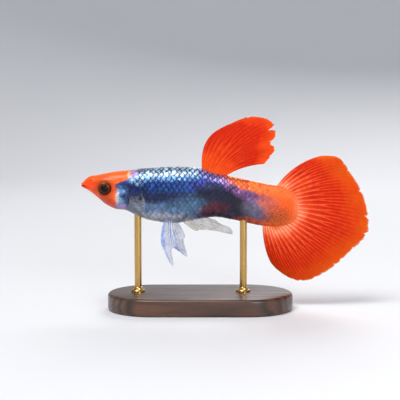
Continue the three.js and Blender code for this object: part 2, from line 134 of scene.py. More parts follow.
def smooth(pairs):
    """A smooth curve through (position, value) pairs, level beyond both ends."""
    xs, ys = np.array(pairs, float).T
    before = np.maximum(np.arange(len(xs)) - 1, 0)
    after = np.minimum(np.arange(len(xs)) + 1, len(xs) - 1)
    slopes = (ys[after] - ys[before]) / (xs[after] - xs[before])

    def curve(at):
        place = np.clip(at, xs[0], xs[-1])
        i = np.clip(np.searchsorted(xs, place) - 1, 0, len(xs) - 2)
        span = xs[i + 1] - xs[i]
        t = (place - xs[i]) / span
        rise = t * t * (3 - 2 * t)
        bend = slopes[i] * t * (1 - t) ** 2 - slopes[i + 1] * t * t * (1 - t)
        return ys[i] + (ys[i + 1] - ys[i]) * rise + span * bend

    return curve


def step(low, high, value):
    """0 below low, 1 above high and smooth between; high may be the lower of the two."""
    t = np.clip((value - low) / (high - low), 0, 1)
    return t * t * (3 - 2 * t)


def bell(distance, width):
    """1 at no distance and fading to 0 on both sides."""
    return np.exp(-((distance / width) ** 2))


back_line = smooth([
    (0, 0.2), (1.2, 1.15), (2.4, 1.38), (4.6, 1.82), (6.9, 2.05), (11.3, 2.38), (14, 2.45),
    (16.4, 2.33), (17.6, 1.93), (18.8, 1.47), (20.3, 1.26), (23.7, 0.55), (26.7, -0.07), (30.7, -0.3),
])
belly_line = smooth([
    (0, -0.3), (1.3, -1.06), (2.7, -2.2), (3.4, -2.8), (4.8, -3.5), (6.2, -3.68), (7.6, -4.31),
    (9.7, -5.04), (13, -5.46), (16, -4.95), (18.8, -4.61), (21.6, -5.05), (25.4, -5.85), (30.7, -6.3),
])
half_breadth = smooth([
    (0, 0.95), (0.6, 1.08), (1.8, 1.42), (3.5, 1.86), (6, 2.14), (11.3, 2.35), (15.8, 2.04),
    (20.3, 1.42), (24.8, 0.96), (28, 0.68), (30.7, 0.42),
])
widest_level = smooth([
    (0, -0.05), (3.2, -0.45), (7, -0.85), (13, -1.25), (18.8, -1.65), (22.5, -2.2), (26.7, -3), (30.7, -3.3),
])
back_squareness = smooth([(0, 2.2), (3, 2.7), (7, 2.4), (12, 2.1)])


def body_points(x, turn, inset=SKIN_INSET):
    """Points of the body's surface at x, turned round the section from its right side."""
    nose = np.clip(1 - (x - inset) / SNOUT_ROUNDING, 0, 1)
    end = np.clip((x - TAIL_ROUNDING_FROM) / (FLESH_LENGTH - inset - TAIL_ROUNDING_FROM), 0, 1)
    full = np.sqrt(1 - nose**2) * (1 - end**TAIL_ROUNDNESS) ** (1 / TAIL_ROUNDNESS)
    level = widest_level(x)
    across, up = np.cos(turn), np.sin(turn)
    upper = up > 0
    power = 2 / np.where(upper, back_squareness(x), BELLY_SQUARENESS)
    reach = np.where(upper, back_line(x) - level, level - belly_line(x)) - inset
    blunt = 1 - NARROWING["share"] * np.clip(1 - x / NARROWING["length"], 0, 1) ** 2
    y = (half_breadth(x) - inset) * blunt * full * np.sign(across) * np.abs(across) ** power
    z = level + reach * full * np.sign(up) * np.abs(up) ** power
    return np.stack(np.broadcast_arrays(x, y, z), -1)


def side_of(x, z):
    """Half the body's breadth at a height z."""
    level = widest_level(x)
    if z > level:
        reach, power = back_line(x) - level, back_squareness(x)
    else:
        reach, power = level - belly_line(x), BELLY_SQUARENESS
    share = min(1, abs(z - level) / reach)
    return float(half_breadth(x) * (1 - share**power) ** (1 / power))


def eye_middle():
    """How far the eyeball's middle lies from the fish's middle plane."""
    return side_of(EYE["x"], EYE["z"]) - EYE["sunk"]


def gill_share(x, z):
    """0 at the middle of the gill cover and 1 at its edge."""
    reach = np.where(x > GILL["x"], GILL["rear"], GILL["front"])
    return np.hypot((x - GILL["x"]) / reach, (z - GILL["z"]) / GILL["half"])


def skin_relief(x, y, z):
    """How far the skin rises over the plain body, in millimetres."""
    out = step(0.25, 0.8, np.abs(y) / np.maximum(half_breadth(x), 0.3))
    eye = np.hypot(x - EYE["x"], z - EYE["z"])
    socket = RELIEF["socket"] * step(EYE["radius"] * 1.02, EYE["radius"] * 0.86, eye)
    lid = RELIEF["lid"] * bell(eye - EYE["radius"] * 1.14, 0.15)
    brow = RELIEF["brow"] * bell(eye - 1.35, 0.3) * step(-0.2, 0.9, z - EYE["z"])
    line = MOUTH["slope"] * x
    front = step(MOUTH["corner"] + 0.25, MOUTH["corner"] - 0.15, x)
    both_lips = bell(z - line - MOUTH["lip"], 0.12) + bell(z - line + MOUTH["lip"], 0.12)
    lips = RELIEF["lips"] * both_lips
    slit = RELIEF["slit"] * bell(z - line, 0.055)
    nostril = np.hypot(x - NOSTRIL["x"], z - NOSTRIL["z"])
    rim = RELIEF["nostril_rim"] * bell(nostril - 0.2, 0.08)
    nose = rim + RELIEF["nostril"] * bell(nostril, NOSTRIL["radius"])
    gill = gill_share(x, z)
    behind = step(-0.1, 0.5, x - GILL["x"])
    plate = RELIEF["gill_plate"] * step(1.04, 0.94, gill) * (0.35 + 0.65 * behind)
    slot = RELIEF["gill_slot"] * bell(gill - 1.1, 0.055) * behind
    cheek = np.hypot(x - EYE["x"], (z - EYE["z"]) * 0.82)
    below = step(0.4, -0.6, z - EYE["z"]) * step(-1.2, 0.2, x - EYE["x"])
    fold = RELIEF["cheek_fold"] * bell(cheek - 1.72, 0.06)
    cheek_fold = (fold + RELIEF["cheek"] * bell(cheek - 1.87, 0.1)) * below
    jaw_line = z + 1.0 + 0.62 * (x - 1.2)
    jaw_fold = RELIEF["jaw_fold"] * bell(jaw_line, 0.07) * step(0.7, 1.2, x) * step(2.6, 1.9, x)
    return out * (socket + lid + brow + nose + plate + slot + cheek_fold + jaw_fold) + front * (lips + slit)


# Mesh helpers


def deselect():
    """Leaves edit mode and selects nothing."""
    if bpy.context.object and bpy.context.object.mode != "OBJECT":
        bpy.ops.object.mode_set(mode="OBJECT")
    bpy.ops.object.select_all(action="DESELECT")


def new_piece(name):
    """The object that an operator has just added, under its own name."""
    piece = bpy.context.object
    piece.name = name
    piece.data.name = name
    return piece


def places(piece):
    """The piece's vertices, as rows of x, y and z."""
    found = np.empty(len(piece.data.vertices) * 3)
    piece.data.vertices.foreach_get("co", found)
    return found.reshape(-1, 3)


def put(piece, points):
    """Moves the piece's vertices to these points."""
    piece.data.vertices.foreach_set("co", np.ascontiguousarray(points, float).ravel())
    piece.data.update()


def vertex_normals(piece):
    found = np.empty(len(piece.data.vertices) * 3)
    piece.data.vertex_normals.foreach_get("vector", found)
    return found.reshape(-1, 3)


def face_outwards(piece):
    """Turns every face so that its front is outside."""
    shape = bmesh.new()
    shape.from_mesh(piece.data)
    bmesh.ops.recalc_face_normals(shape, faces=shape.faces)
    shape.to_mesh(piece.data)
    shape.free()
    piece.data.update()


def pick(piece):
    """Makes a piece the only one selected, and the active one."""
    deselect()
    piece.select_set(True)
    bpy.context.view_layer.objects.active = piece


def store(mesh, **values):
    """Stores named numbers, one of each for every vertex."""
    for name, numbers in values.items():
        mesh.attributes.new(name, "FLOAT", "POINT").data.foreach_set("value", numbers)


def modify(piece, kind, **settings):
    """Adds a modifier and applies it."""
    made = piece.modifiers.new(kind.title(), kind)
    for name, value in settings.items():
        setattr(made, name, value)
    pick(piece)
    bpy.ops.object.modifier_apply(modifier=made.name)


def smooth_by_angle(piece, degrees):
    pick(piece)
    bpy.ops.object.shade_smooth_by_angle(angle=math.radians(degrees))


def to_world(points):
    """From the fish's own millimetres to the metres of the scene."""
    return SNOUT + points * MM


def declare(piece, material, slot, *nodes):
    """Gives a piece its material, hangs it under the root and hides the solids that it takes the place of.
    The slot is not used.
    """
    piece.data.materials.clear()
    piece.data.materials.append(material)
    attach(piece, "root")
    if nodes:
        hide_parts(*nodes)


# Material helpers


def node(tree, kind, inputs=None, **settings):
    """A shader node. Its inputs are values, or the sockets that feed them."""
    made = tree.nodes.new(f"ShaderNode{kind}")
    for name, value in settings.items():
        setattr(made, name, value)
    for socket, value in (inputs or {}).items():
        if isinstance(value, bpy.types.NodeSocket):
            tree.links.new(value, made.inputs[socket])
        else:
            made.inputs[socket].default_value = value
    return made


def feed(target, socket, source):
    """Links a socket of one node to an input of another."""
    target.id_data.links.new(source, target.inputs[socket])


def parts_of(tree, vector):
    """The X, Y and Z of a vector."""
    return node(tree, "SeparateXYZ", {0: vector}).outputs


def stored(tree, name):
    """A value that the mesh carries at each point."""
    return node(tree, "Attribute", attribute_name=name).outputs["Fac"]


# The colour sockets of a Mix node share their names, so they go by number
MIX_FACTOR, MIX_A, MIX_B, MIX_RESULT = 0, 6, 7, 2


def blend(tree, factor, first, second, kind="MIX"):
    """One colour laid over another."""
    made = node(
        tree, "Mix", {MIX_FACTOR: factor, MIX_A: first, MIX_B: second},
        data_type="RGBA", blend_type=kind,
    )
    return made.outputs[MIX_RESULT]


def reckon(tree, operation, first, second=0.0, clamp=False):
    made = node(tree, "Math", {0: first, 1: second}, operation=operation, use_clamp=clamp)
    return made.outputs[0]


def times(tree, first, second):
    return reckon(tree, "MULTIPLY", first, second)


def fade(tree, value, start, end, low=0.0, high=1.0):
    """low where value is at start, high at end, and smooth between."""
    made = node(
        tree, "MapRange", {0: value, 1: start, 2: end, 3: low, 4: high},
        interpolation_type="SMOOTHSTEP",
    )
    return made.outputs[0]


def noise(tree, place, size, detail=3.0, roughness=0.55):
    """Cloudy variation with features of about size millimetres."""
    return node(
        tree, "TexNoise",
        {"Vector": place, "Scale": 1 / size, "Detail": detail, "Roughness": roughness},
    )


def fish_place(tree):
    """The place on the fish, in millimetres from its snout."""
    position = node(tree, "TexCoord").outputs["Object"]
    moved = node(tree, "VectorMath", {0: position, 1: tuple(SNOUT)}, operation="SUBTRACT")
    scaled = node(tree, "VectorMath", {0: moved.outputs[0], "Scale": 1 / MM}, operation="SCALE")
    return scaled.outputs[0]


made_groups = {}


def new_group(name, sockets_in, sockets_out):
    """A node group, with its inlet and its outlet."""
    group = bpy.data.node_groups.new(name, "ShaderNodeTree")
    for label, kind in sockets_in:
        group.interface.new_socket(label, in_out="INPUT", socket_type=kind)
    for label, kind in sockets_out:
        group.interface.new_socket(label, in_out="OUTPUT", socket_type=kind)
    return group, group.nodes.new("NodeGroupInput"), group.nodes.new("NodeGroupOutput")


def use_group(tree, maker, inputs=None):
    """A node of the group that maker makes. Each group is made only once."""
    name = maker.__name__
    if name not in made_groups:
        made_groups[name] = maker()
    return node(tree, "Group", inputs, node_tree=made_groups[name])


def new_material(name, color, **sockets):
    """A material whose plain values are set straight on its shader."""
    made = bpy.data.materials.new(name)
    made.use_nodes = True
    made.diffuse_color = color
    shader = made.node_tree.nodes["Principled BSDF"]
    shader.inputs["Base Color"].default_value = color
    for socket, value in sockets.items():
        shader.inputs[socket.replace("_", " ")].default_value = value
    return made, made.node_tree, shader


def bump(tree, height, depth):
    """A normal that shows height as relief, depth millimetres deep."""
    made = node(tree, "Bump", {"Height": height, "Distance": depth * MM})
    return made.outputs["Normal"]


# The fish's markings, with a few painted highlights among them, from below to
# above: where each patch lies on the side of the fish and how far it reaches,
# both in millimetres, how far it slopes down towards the tail, how soft its
# edge is, how strong it is and its colour
FLANK_GROUND = paint(40, 58, 112)
FLANK_PATCHES = [
    ("slate belly", (11.8, -3.9), (6.8, 1.9), 0, 0.5, 1, paint(110, 132, 176)),
    ("teal flank", (14.6, -2.5), (4.4, 1.6), 0, 0.6, 0.8, paint(70, 108, 138)),
    ("silver belly", (9.8, -5.0), (6.2, 1.15), 0.02, 0.5, 0.9, paint(176, 180, 190)),
    ("grey throat", (7.6, -3.0), (1.3, 1.5), 0, 0.4, 0.9, paint(98, 104, 114)),
    ("dark flank", (10.2, -1.3), (4.6, 1.15), 0.05, 0.5, 0.95, paint(20, 30, 74)),
    ("royal flank", (12.6, 0.0), (6.2, 0.95), -0.02, 0.5, 0.95, paint(36, 84, 164)),
    ("violet shoulder", (16.9, 0.2), (2.6, 0.8), 0.2, 0.5, 0.85, paint(62, 74, 186)),
    ("sky band", (12.4, 1.1), (5.8, 0.55), -0.02, 0.4, 0.9, paint(104, 164, 230)),
    # Pale blue of the back, lightened further as a painted highlight from the light above.
    ("pale back with painted highlight", (12.9, 2.05), (5.4, 0.8), -0.02, 0.35, 1, paint(184, 216, 248)),
    ("bright nape", (8.0, 0.9), (1.1, 1.05), 0.2, 0.4, 0.9, paint(150, 192, 240)),
    ("lilac nape", (7.4, 1.75), (0.9, 0.5), 0, 0.5, 0.8, paint(170, 130, 190)),
    ("navy shoulder", (7.2, -0.5), (1.9, 0.7), 0.1, 0.5, 0.9, paint(14, 36, 92)),
    # Lilac colour, partly lightened as a painted highlight.
    ("lilac patch with painted highlight", (18.8, 1.0), (2.5, 0.6), 0.32, 0.4, 0.92, paint(164, 148, 226)),
    ("black flank", (19.8, -1.9), (3.9, 1.75), 0.4, 0.35, 0.92, paint(22, 20, 44)),
    ("black stalk", (22.2, -3.2), (2.0, 1.4), 0.25, 0.5, 0.9, paint(26, 24, 38)),
    ("maroon belly", (18.5, -3.5), (2.0, 1.05), -0.2, 0.45, 0.92, paint(88, 20, 36)),
    ("mauve band", (23.3, -1.55), (3.9, 0.75), 0.5, 0.5, 0.9, paint(138, 88, 142)),
    ("steel stalk", (24.9, -3.5), (2.3, 1.2), 0.15, 0.6, 0.9, paint(106, 100, 122)),
    ("dusky underside", (21.8, -5.1), (4.2, 0.75), 0.17, 0.6, 0.95, paint(66, 50, 60)),
    ("gill cover", (5.85, -1.85), (1.05, 1.8), 0, 0.18, 1, paint(66, 98, 142)),
    ("gill cover dusk", (6.25, -1.6), (0.36, 1.3), 0, 0.6, 0.9, paint(30, 40, 104)),
    ("gill cover sky", (5.8, -0.9), (0.5, 0.3), 0, 0.7, 0.7, paint(110, 160, 206)),
    ("gill cover pearl", (5.2, -1.75), (0.34, 0.95), 0.1, 0.6, 0.95, paint(216, 218, 230)),
    ("gill cover teal", (5.7, -2.3), (0.45, 0.5), 0, 0.7, 0.8, paint(112, 164, 172)),
    ("gill cover lilac", (5.9, -3.0), (0.7, 0.4), 0, 0.5, 0.95, paint(160, 134, 196)),
    ("throat", (5.6, -3.75), (1.0, 0.45), 0.3, 0.5, 0.9, paint(170, 116, 104)),
    ("gill slit", (6.78, -1.95), (0.12, 1.1), 0, 0.5, 0.95, paint(50, 14, 34)),
]
ORANGE_PATCHES = [
    ("orange tail base", (29.1, -2.4), (3.3, 3.6), 0, 0.42, 1, paint(246, 92, 4)),
    ("pale end", (30.7, -3.2), (0.75, 2.9), 0, 0.8, 0.7, paint(248, 136, 84)),
    ("orange stalk edge", (24.6, -0.1), (5.1, 1.05), 0.31, 0.3, 1, paint(248, 106, 20)),
    ("lower stalk edge", (24.6, -5.4), (3.0, 0.6), 0.15, 0.5, 0.9, paint(196, 84, 48)),
    ("underside of the tail's base", (28.2, -5.6), (2.6, 0.8), 0, 0.6, 0.85, paint(246, 100, 22)),
    ("olive tail base", (27.4, -4.6), (1.7, 1.0), 0, 0.6, 0.55, paint(160, 74, 14)),
    ("rose tail base", (26.2, -2.6), (1.6, 0.9), 0.4, 0.7, 0.75, paint(206, 98, 84)),
    ("face", (2.5, -1.1), (2.62, 3.7), 0, 0.08, 1, paint(250, 86, 6)),
    # These two amber patches are partly the head's yellower orange and partly painted highlights, above and
    # below the eye.
    ("yellow brow and painted highlight", (3.8, 0.75), (1.9, 0.45), -0.05, 0.6, 0.7, paint(255, 122, 14)),
    ("yellow cheek and painted highlight", (4.3, -1.7), (0.8, 0.8), 0.3, 0.7, 0.6, paint(255, 116, 10)),
    ("crown", (4.2, 1.3), (2.95, 1.1), -0.04, 0.1, 1, paint(255, 100, 8)),
    ("cheek", (3.7, -2.6), (1.2, 1.1), 0.6, 0.5, 0.9, paint(200, 58, 16)),
    # A painted highlight: a pale spot at the rear edge of the orange crown.
    ("painted highlight at the crown's rear", (6.85, 1.4), (0.16, 0.4), 0, 0.6, 0.7, paint(255, 206, 150)),
    ("crown blush", (5.2, 1.95), (2.6, 0.2), -0.1, 0.8, 0.5, paint(255, 130, 110)),
    ("snout", (1.2, 0), (1.4, 0.9), 0, 0.6, 0.8, paint(250, 66, 4)),
    # A painted highlight along the upper edge of the snout.
    ("painted highlight on the snout's upper edge", (0.42, 0.5), (0.55, 0.2), -0.8, 0.5, 0.35, paint(240, 180, 150)),
    ("round the eye", (3.45, -0.35), (1.5, 1.4), 0, 0.35, 0.7, paint(156, 52, 2)),
    ("mouth", (0.25, -0.09), (0.6, 0.07), 0.32, 0.5, 0.95, paint(104, 8, 12)),
    ("nostril", (1.5, 0.62), (0.1, 0.08), 0, 0.5, 0.9, paint(70, 20, 8)),
    ("crown speck", (6.0, 1.05), (0.12, 0.1), 0, 0.5, 0.8, paint(176, 70, 4)),
    ("crown fleck", (5.75, 0.78), (0.14, 0.1), 0, 0.5, 0.8, paint(176, 70, 4)),
]

# Where freckles show, white for all of them
FRECKLE_PATCHES = [
    ("below the tail's base", (27.4, -4.6), (2.0, 1.5), 0, 0.6, 0.75, (1, 1, 1, 1)),
    ("end of the steel", (26.0, -3.6), (1.1, 1.4), 0.3, 0.6, 0.3, (1, 1, 1, 1)),
    ("crown", (5.6, 0.9), (1.0, 0.5), 0, 0.6, 0.3, (1, 1, 1, 1)),
]


def lay_patches(tree, place, patches, color):
    """Soft-edged patches of colour, each laid over the ones before it."""
    through_fish = 1000
    for _, (x, z), (half_x, half_z), slope, softness, strength, shade in patches:
        local = node(
            tree, "Mapping",
            {"Vector": place, "Location": (x, 0, z), "Rotation": (0, slope, 0),
             "Scale": (half_x, through_fish, half_z)},
            vector_type="TEXTURE",
        )
        away = node(tree, "VectorMath", {0: local.outputs[0]}, operation="LENGTH")
        factor = fade(tree, away.outputs["Value"], 1 + softness, 1 - softness, 0, strength)
        color = blend(tree, factor, color, shade)
    return color


def markings_and_sheen_group():
    """The colours of the skin and scales, as soft-edged patches over one another, with painted highlights
    and painted glints among them.
    """
    group, _, outlet = new_group("Markings and painted sheen", [], [("Color", "NodeSocketColor")])
    place = fish_place(group)
    cloud = noise(group, place, 1.1)
    centred = node(
        group, "VectorMath", {0: cloud.outputs["Color"], 1: (0.5, 0.5, 0.5)}, operation="SUBTRACT"
    )
    # The head's patches keep their shape, and the flank's are ragged
    x = parts_of(group, place)["X"]
    spread = fade(group, x, 3.9, 5.2, 0.12, 0.9)
    shift = node(
        group, "VectorMath", {0: centred.outputs[0], "Scale": spread}, operation="SCALE"
    )
    ragged = node(group, "VectorMath", {0: place, 1: shift.outputs[0]}, operation="ADD")
    flank = lay_patches(group, ragged.outputs[0], FLANK_PATCHES, FLANK_GROUND)
    glints = noise(group, place, 0.3, 2.0).outputs[0]
    z = parts_of(group, place)["Z"]
    above = fade(group, z, -3.2, -0.6, 0.35, 1)
    dark = times(group, fade(group, glints, 0.5, 0.38, 0, 0.55), above)
    bright = times(group, fade(group, glints, 0.56, 0.68, 0, 0.75), above)
    shaded = blend(group, dark, flank, (0.12, 0.14, 0.26, 1), "MULTIPLY")
    lit = blend(group, bright, shaded, (1.9, 2.0, 2.0, 1), "MULTIPLY")
    plain = lay_patches(group, ragged.outputs[0], ORANGE_PATCHES, lit)
    freckled = lay_patches(group, ragged.outputs[0], FRECKLE_PATCHES, (0, 0, 0, 1))
    specks = noise(group, place, 0.17, 2.0).outputs[0]
    freckles = times(group, fade(group, specks, 0.5, 0.6), freckled)
    color = blend(group, freckles, plain, paint(112, 44, 16))
    feed(outlet, "Color", color)
    return group


def mottling_group():
    """Small changes of brightness, as living skin has, and the relief that goes with them."""
    group, inlet, outlet = new_group(
        "Mottling",
        [("Color", "NodeSocketColor"), ("Size", "NodeSocketFloat"), ("Amount", "NodeSocketFloat")],
        [("Color", "NodeSocketColor"), ("Height", "NodeSocketFloat")],
    )
    place = fish_place(group)
    closeness = reckon(group, "DIVIDE", 1.0, inlet.outputs["Size"])
    cloud = node(
        group, "TexNoise", {"Vector": place, "Scale": closeness, "Detail": 4, "Roughness": 0.6}
    )
    away = reckon(group, "SUBTRACT", cloud.outputs[0], 0.5)
    change = times(group, away, inlet.outputs["Amount"])
    value = reckon(group, "ADD", 1.0, change)
    toned = node(group, "HueSaturation", {"Value": value, "Color": inlet.outputs["Color"]})
    feed(outlet, "Color", toned.outputs[0])
    feed(outlet, "Height", cloud.outputs[0])
    return group


def skin_material():
    """Moist skin with the fish's markings and fine pores."""
    made, tree, shader = new_material(
        "skin", FLANK_GROUND, Roughness=0.42, Specular_IOR_Level=0.3,
        Subsurface_Weight=0.12, Subsurface_Scale=0.3 * MM, Subsurface_Radius=(1.0, 0.3, 0.1),
        Coat_Weight=0.2, Coat_Roughness=0.12, Coat_IOR=1.35,
    )
    colors = use_group(tree, markings_and_sheen_group).outputs["Color"]
    mottled = use_group(tree, mottling_group, {"Color": colors, "Size": 0.4, "Amount": 0.75})
    feed(shader, "Base Color", mottled.outputs["Color"])
    pores = noise(tree, fish_place(tree), 0.16)
    feed(shader, "Normal", bump(tree, pores.outputs[0], 0.012))
    return made


def scale_material():
    """Scales carry the skin's markings, bright in the middle and dark along the free edge."""
    made, tree, shader = new_material(
        "scales", FLANK_GROUND, Roughness=0.32, Specular_IOR_Level=0.3, Coat_Roughness=0.12, Coat_IOR=1.4,
    )
    colors = use_group(tree, markings_and_sheen_group).outputs["Color"]
    plate = node(tree, "UVMap", uv_map="plate").outputs[0]
    parts = node(tree, "SeparateXYZ", {0: plate})
    tint = stored(tree, "tint")
    across = reckon(tree, "ABSOLUTE", reckon(tree, "SUBTRACT", parts.outputs["X"], 0.5))
    from_middle = times(tree, across, 2.0)
    tip = reckon(tree, "POWER", parts.outputs["Y"], 3.0)
    sides = reckon(tree, "POWER", from_middle, 4.0)
    edge = reckon(tree, "ADD", tip, times(tree, sides, 0.7))
    x = parts_of(tree, fish_place(tree))["X"]
    z = parts_of(tree, fish_place(tree))["Z"]
    contrast = times(tree, fade(tree, z, -3.2, 0.5, 0.3, 1), fade(tree, x, 26.5, 19.5, 0.18, 1))
    dark_edge = times(tree, fade(tree, edge, 0.3, 0.85), contrast)
    bright = times(tree, fade(tree, edge, 0.4, 0.05), contrast)
    variety = fade(tree, x, 28, 23, 0.1, 0.8)
    centred = reckon(tree, "SUBTRACT", tint, 0.5)
    value = reckon(tree, "ADD", 1.0, times(tree, centred, variety))
    hue = reckon(tree, "ADD", 0.5, times(tree, times(tree, centred, variety), 0.025))
    toned = node(tree, "HueSaturation", {"Hue": hue, "Value": value, "Color": colors}).outputs[0]
    lit = blend(tree, times(tree, bright, 0.3), toned, paint(255, 255, 255), "SOFT_LIGHT")
    netted = blend(tree, times(tree, dark_edge, 0.92), lit, paint(8, 12, 44))
    mottled = use_group(tree, mottling_group, {"Color": netted, "Size": 0.12, "Amount": 0.45})
    feed(shader, "Base Color", mottled.outputs["Color"])
    feed(shader, "Metallic", fade(tree, x, 26, 21, 0.0, 0.42))
    feed(shader, "Coat Weight", fade(tree, x, 26, 21, 0.05, 0.5))
    fan = node(
        tree, "TexWave", {"Vector": plate, "Scale": 4.0, "Distortion": 1.2, "Detail": 1.0},
        wave_type="RINGS", rings_direction="Z",
    )
    feed(shader, "Normal", bump(tree, fan.outputs["Fac"], 0.006))
    return made


# The skin and its scales


class GUPPY_OT_skin(bpy.types.Operator):
    """One seamless skin over the head, the trunk and the scaled base of the tail"""

    bl_idname = "guppy.skin"
    bl_label = "Skin"

    def execute(self, context):
        deselect()
        bpy.ops.mesh.primitive_uv_sphere_add(segments=SKIN_SIDES, ring_count=SKIN_RINGS, radius=1)
        skin = new_piece("skin")
        ball = places(skin)
        share = np.arccos(np.clip(-ball[:, 2], -1, 1)) / math.pi
        turn = np.arctan2(ball[:, 1], ball[:, 0])
        x = SKIN_INSET + (FLESH_LENGTH - 2 * SKIN_INSET) * (1 - np.cos(math.pi * share)) / 2
        points = body_points(x, turn)
        put(skin, to_world(points))
        face_outwards(skin)
        relief = skin_relief(points[:, 0], points[:, 1], points[:, 2])
        put(skin, to_world(points + vertex_normals(skin) * relief[:, None]))
        declare(
            skin, skin_material(), "head_skin",
            "head", "lower_jaw", "gill_cover_left", "gill_cover_right", "trunk", "tail_stalk",
        )
        bpy.ops.object.shade_smooth()
        return {"FINISHED"}


# One scale, in millimetres. Its root is sunk in the skin and its tip lifted.
# skew and uneven say how much one scale differs from the next, and
# full_spacing is that of the rows where a scale has its full length.
SCALE = {
    "length": 1.35, "half": 0.64, "thick": 0.02, "lift": 0.08, "root": -0.05, "dome": 0.03,
    "overlap": 0.57, "across": 4, "along": 5, "middle": 0.55, "skew": 0.05, "uneven": 0.25,
    "full_spacing": 1.1, "shortest": 0.7,
}


def model_scale():
    """One scale lying flat, in millimetres: x across it, y along it from its root, z outwards."""
    deselect()
    bpy.ops.mesh.primitive_grid_add(x_subdivisions=SCALE["across"], y_subdivisions=SCALE["along"], size=2)
    scale = new_piece("scale")
    flat = places(scale)
    across = flat[:, 0]
    along = ((flat[:, 1] + 1) / 2) ** 0.85
    rounded = np.sqrt(np.clip(1 - ((along - 0.5) / 0.54) ** 2, 0, 1))
    narrow = np.where(along < 0.5, 0.8 + 0.4 * along, rounded)
    dome = SCALE["dome"] * (1 - across**2) * np.sin(math.pi * along)
    put(scale, np.stack([across * narrow * SCALE["half"], along * SCALE["length"], dome], -1))
    store(scale.data, plate_x=(across + 1) / 2, plate_y=along)
    modify(scale, "SOLIDIFY", thickness=SCALE["thick"], offset=-1, use_rim=True)
    face_outwards(scale)
    return scale


def attribute(piece, name):
    """The numbers stored under a name, one for each vertex."""
    found = np.empty(len(piece.data.vertices))
    piece.data.attributes[name].data.foreach_get("value", found)
    return found


# Where the scales begin behind the head, at each height: furthest forward
# above the gill cover
scale_front = smooth([(-4, 7.6), (-0.9, 7.5), (-0.35, 6.35), (0.1, 6.55), (0.6, 7.4), (2, 7.7)])
FIRST_COLUMN = 5
LAST_COLUMN = FLESH_LENGTH - 0.5
RING_STEPS = 721


def scale_places(pitch, rows):
    """Each scale's place, as x, its turn round the body and the row spacing there."""
    found = []
    turns = np.linspace(-math.pi, math.pi, RING_STEPS)
    for column in itertools.count():
        x = FIRST_COLUMN + column * pitch
        if x > LAST_COLUMN:
            return np.array(found)
        ring = body_points(np.full_like(turns, x), turns)
        lengths = np.concatenate([[0], np.cumsum(np.linalg.norm(np.diff(ring, axis=0), axis=1))])
        for row in range(rows):
            share = (row + 0.5 * (column % 2)) / rows
            turn = float(np.interp(share * lengths[-1], lengths, turns))
            z = float(np.interp(turn, turns, ring[:, 2]))
            if x > scale_front(z):
                found.append((x, turn, lengths[-1] / rows))


BAKE_PATCH = 0.003  # each scale's width on the coat's own unwrap
SCALE_SEED = 4


def surface(x, turn):
    """Points, outward normals and the arc length of a unit turn, of the body's surface."""
    small = 0.01
    point = body_points(x, turn)
    ahead = body_points(np.minimum(x + small, FLESH_LENGTH - 0.08), turn) - body_points(x - small, turn)
    round_it = body_points(x, turn + small) - body_points(x, turn - small)
    normal = np.cross(ahead, round_it)
    normal /= np.maximum(np.linalg.norm(normal, axis=-1, keepdims=True), 1e-9)
    inward = np.sum(normal * (point - np.stack([x, 0 * x, widest_level(x)], -1)), -1, keepdims=True) < 0
    return point, np.where(inward, -normal, normal), np.linalg.norm(round_it, axis=-1) / (2 * small)


def build_coat(name, scale, scattered, draws):
    """Copies of one scale, each bent onto the body's own surface, as one mesh."""
    flat = places(scale)
    plate = np.stack([attribute(scale, "plate_x"), attribute(scale, "plate_y")], -1)
    faces = [tuple(face.vertices) for face in scale.data.polygons]
    count = len(flat)
    x0, turn0, spacing = (scattered[:, i, None] for i in range(3))
    wider = spacing * SCALE["overlap"] / SCALE["half"]
    longer = np.clip(spacing / SCALE["full_spacing"], SCALE["shortest"], 1)
    along = flat[:, 1] / SCALE["length"]
    from_middle = flat[:, 1] - SCALE["middle"] * SCALE["length"]
    x = np.minimum(x0 + longer * from_middle, FLESH_LENGTH - SKIN_INSET - 0.03)
    sideways = flat[:, 0] * wider + draws[:, 0, None] * SCALE["skew"] * along
    _, _, arc = surface(np.minimum(x0, FLESH_LENGTH - 0.6), turn0)
    point, normal, _ = surface(x, turn0 + sideways / np.maximum(arc, 0.25))
    uneven = 1 + SCALE["uneven"] * draws[:, 1, None]
    raised = (SCALE["lift"] - SCALE["root"]) * along**1.2 * uneven
    lift = SCALE["root"] + raised + flat[:, 2]
    points = (point + normal * lift[..., None]).reshape(-1, 3)
    every = [tuple(first * count + i for i in face) for first in range(len(scattered)) for face in faces]
    mesh = bpy.data.meshes.new(name)
    mesh.from_pydata(to_world(points).tolist(), [], every)
    piece = bpy.data.objects.new(name, mesh)
    bpy.context.collection.objects.link(piece)
    corners = np.empty(len(mesh.loops), int)
    mesh.loops.foreach_get("vertex_index", corners)
    roots = np.stack([x0[:, 0] / FLESH_LENGTH, (turn0[:, 0] / (2 * math.pi)) % 1], -1)
    on_plate = np.tile(plate, (len(scattered), 1))
    baked = np.clip(np.repeat(roots, count, 0) + (on_plate - 0.5) * BAKE_PATCH, 0, 1)
    for layer, values in (("OFBake", baked), ("plate", on_plate)):
        uv = mesh.uv_layers.new(name=layer)
        uv.data.foreach_set("uv", values[corners].ravel())
    mesh.uv_layers.active = mesh.uv_layers["OFBake"]
    mesh.uv_layers["OFBake"].active_render = True
    store(mesh, tint=np.repeat(draws[:, 2], count))
    return piece


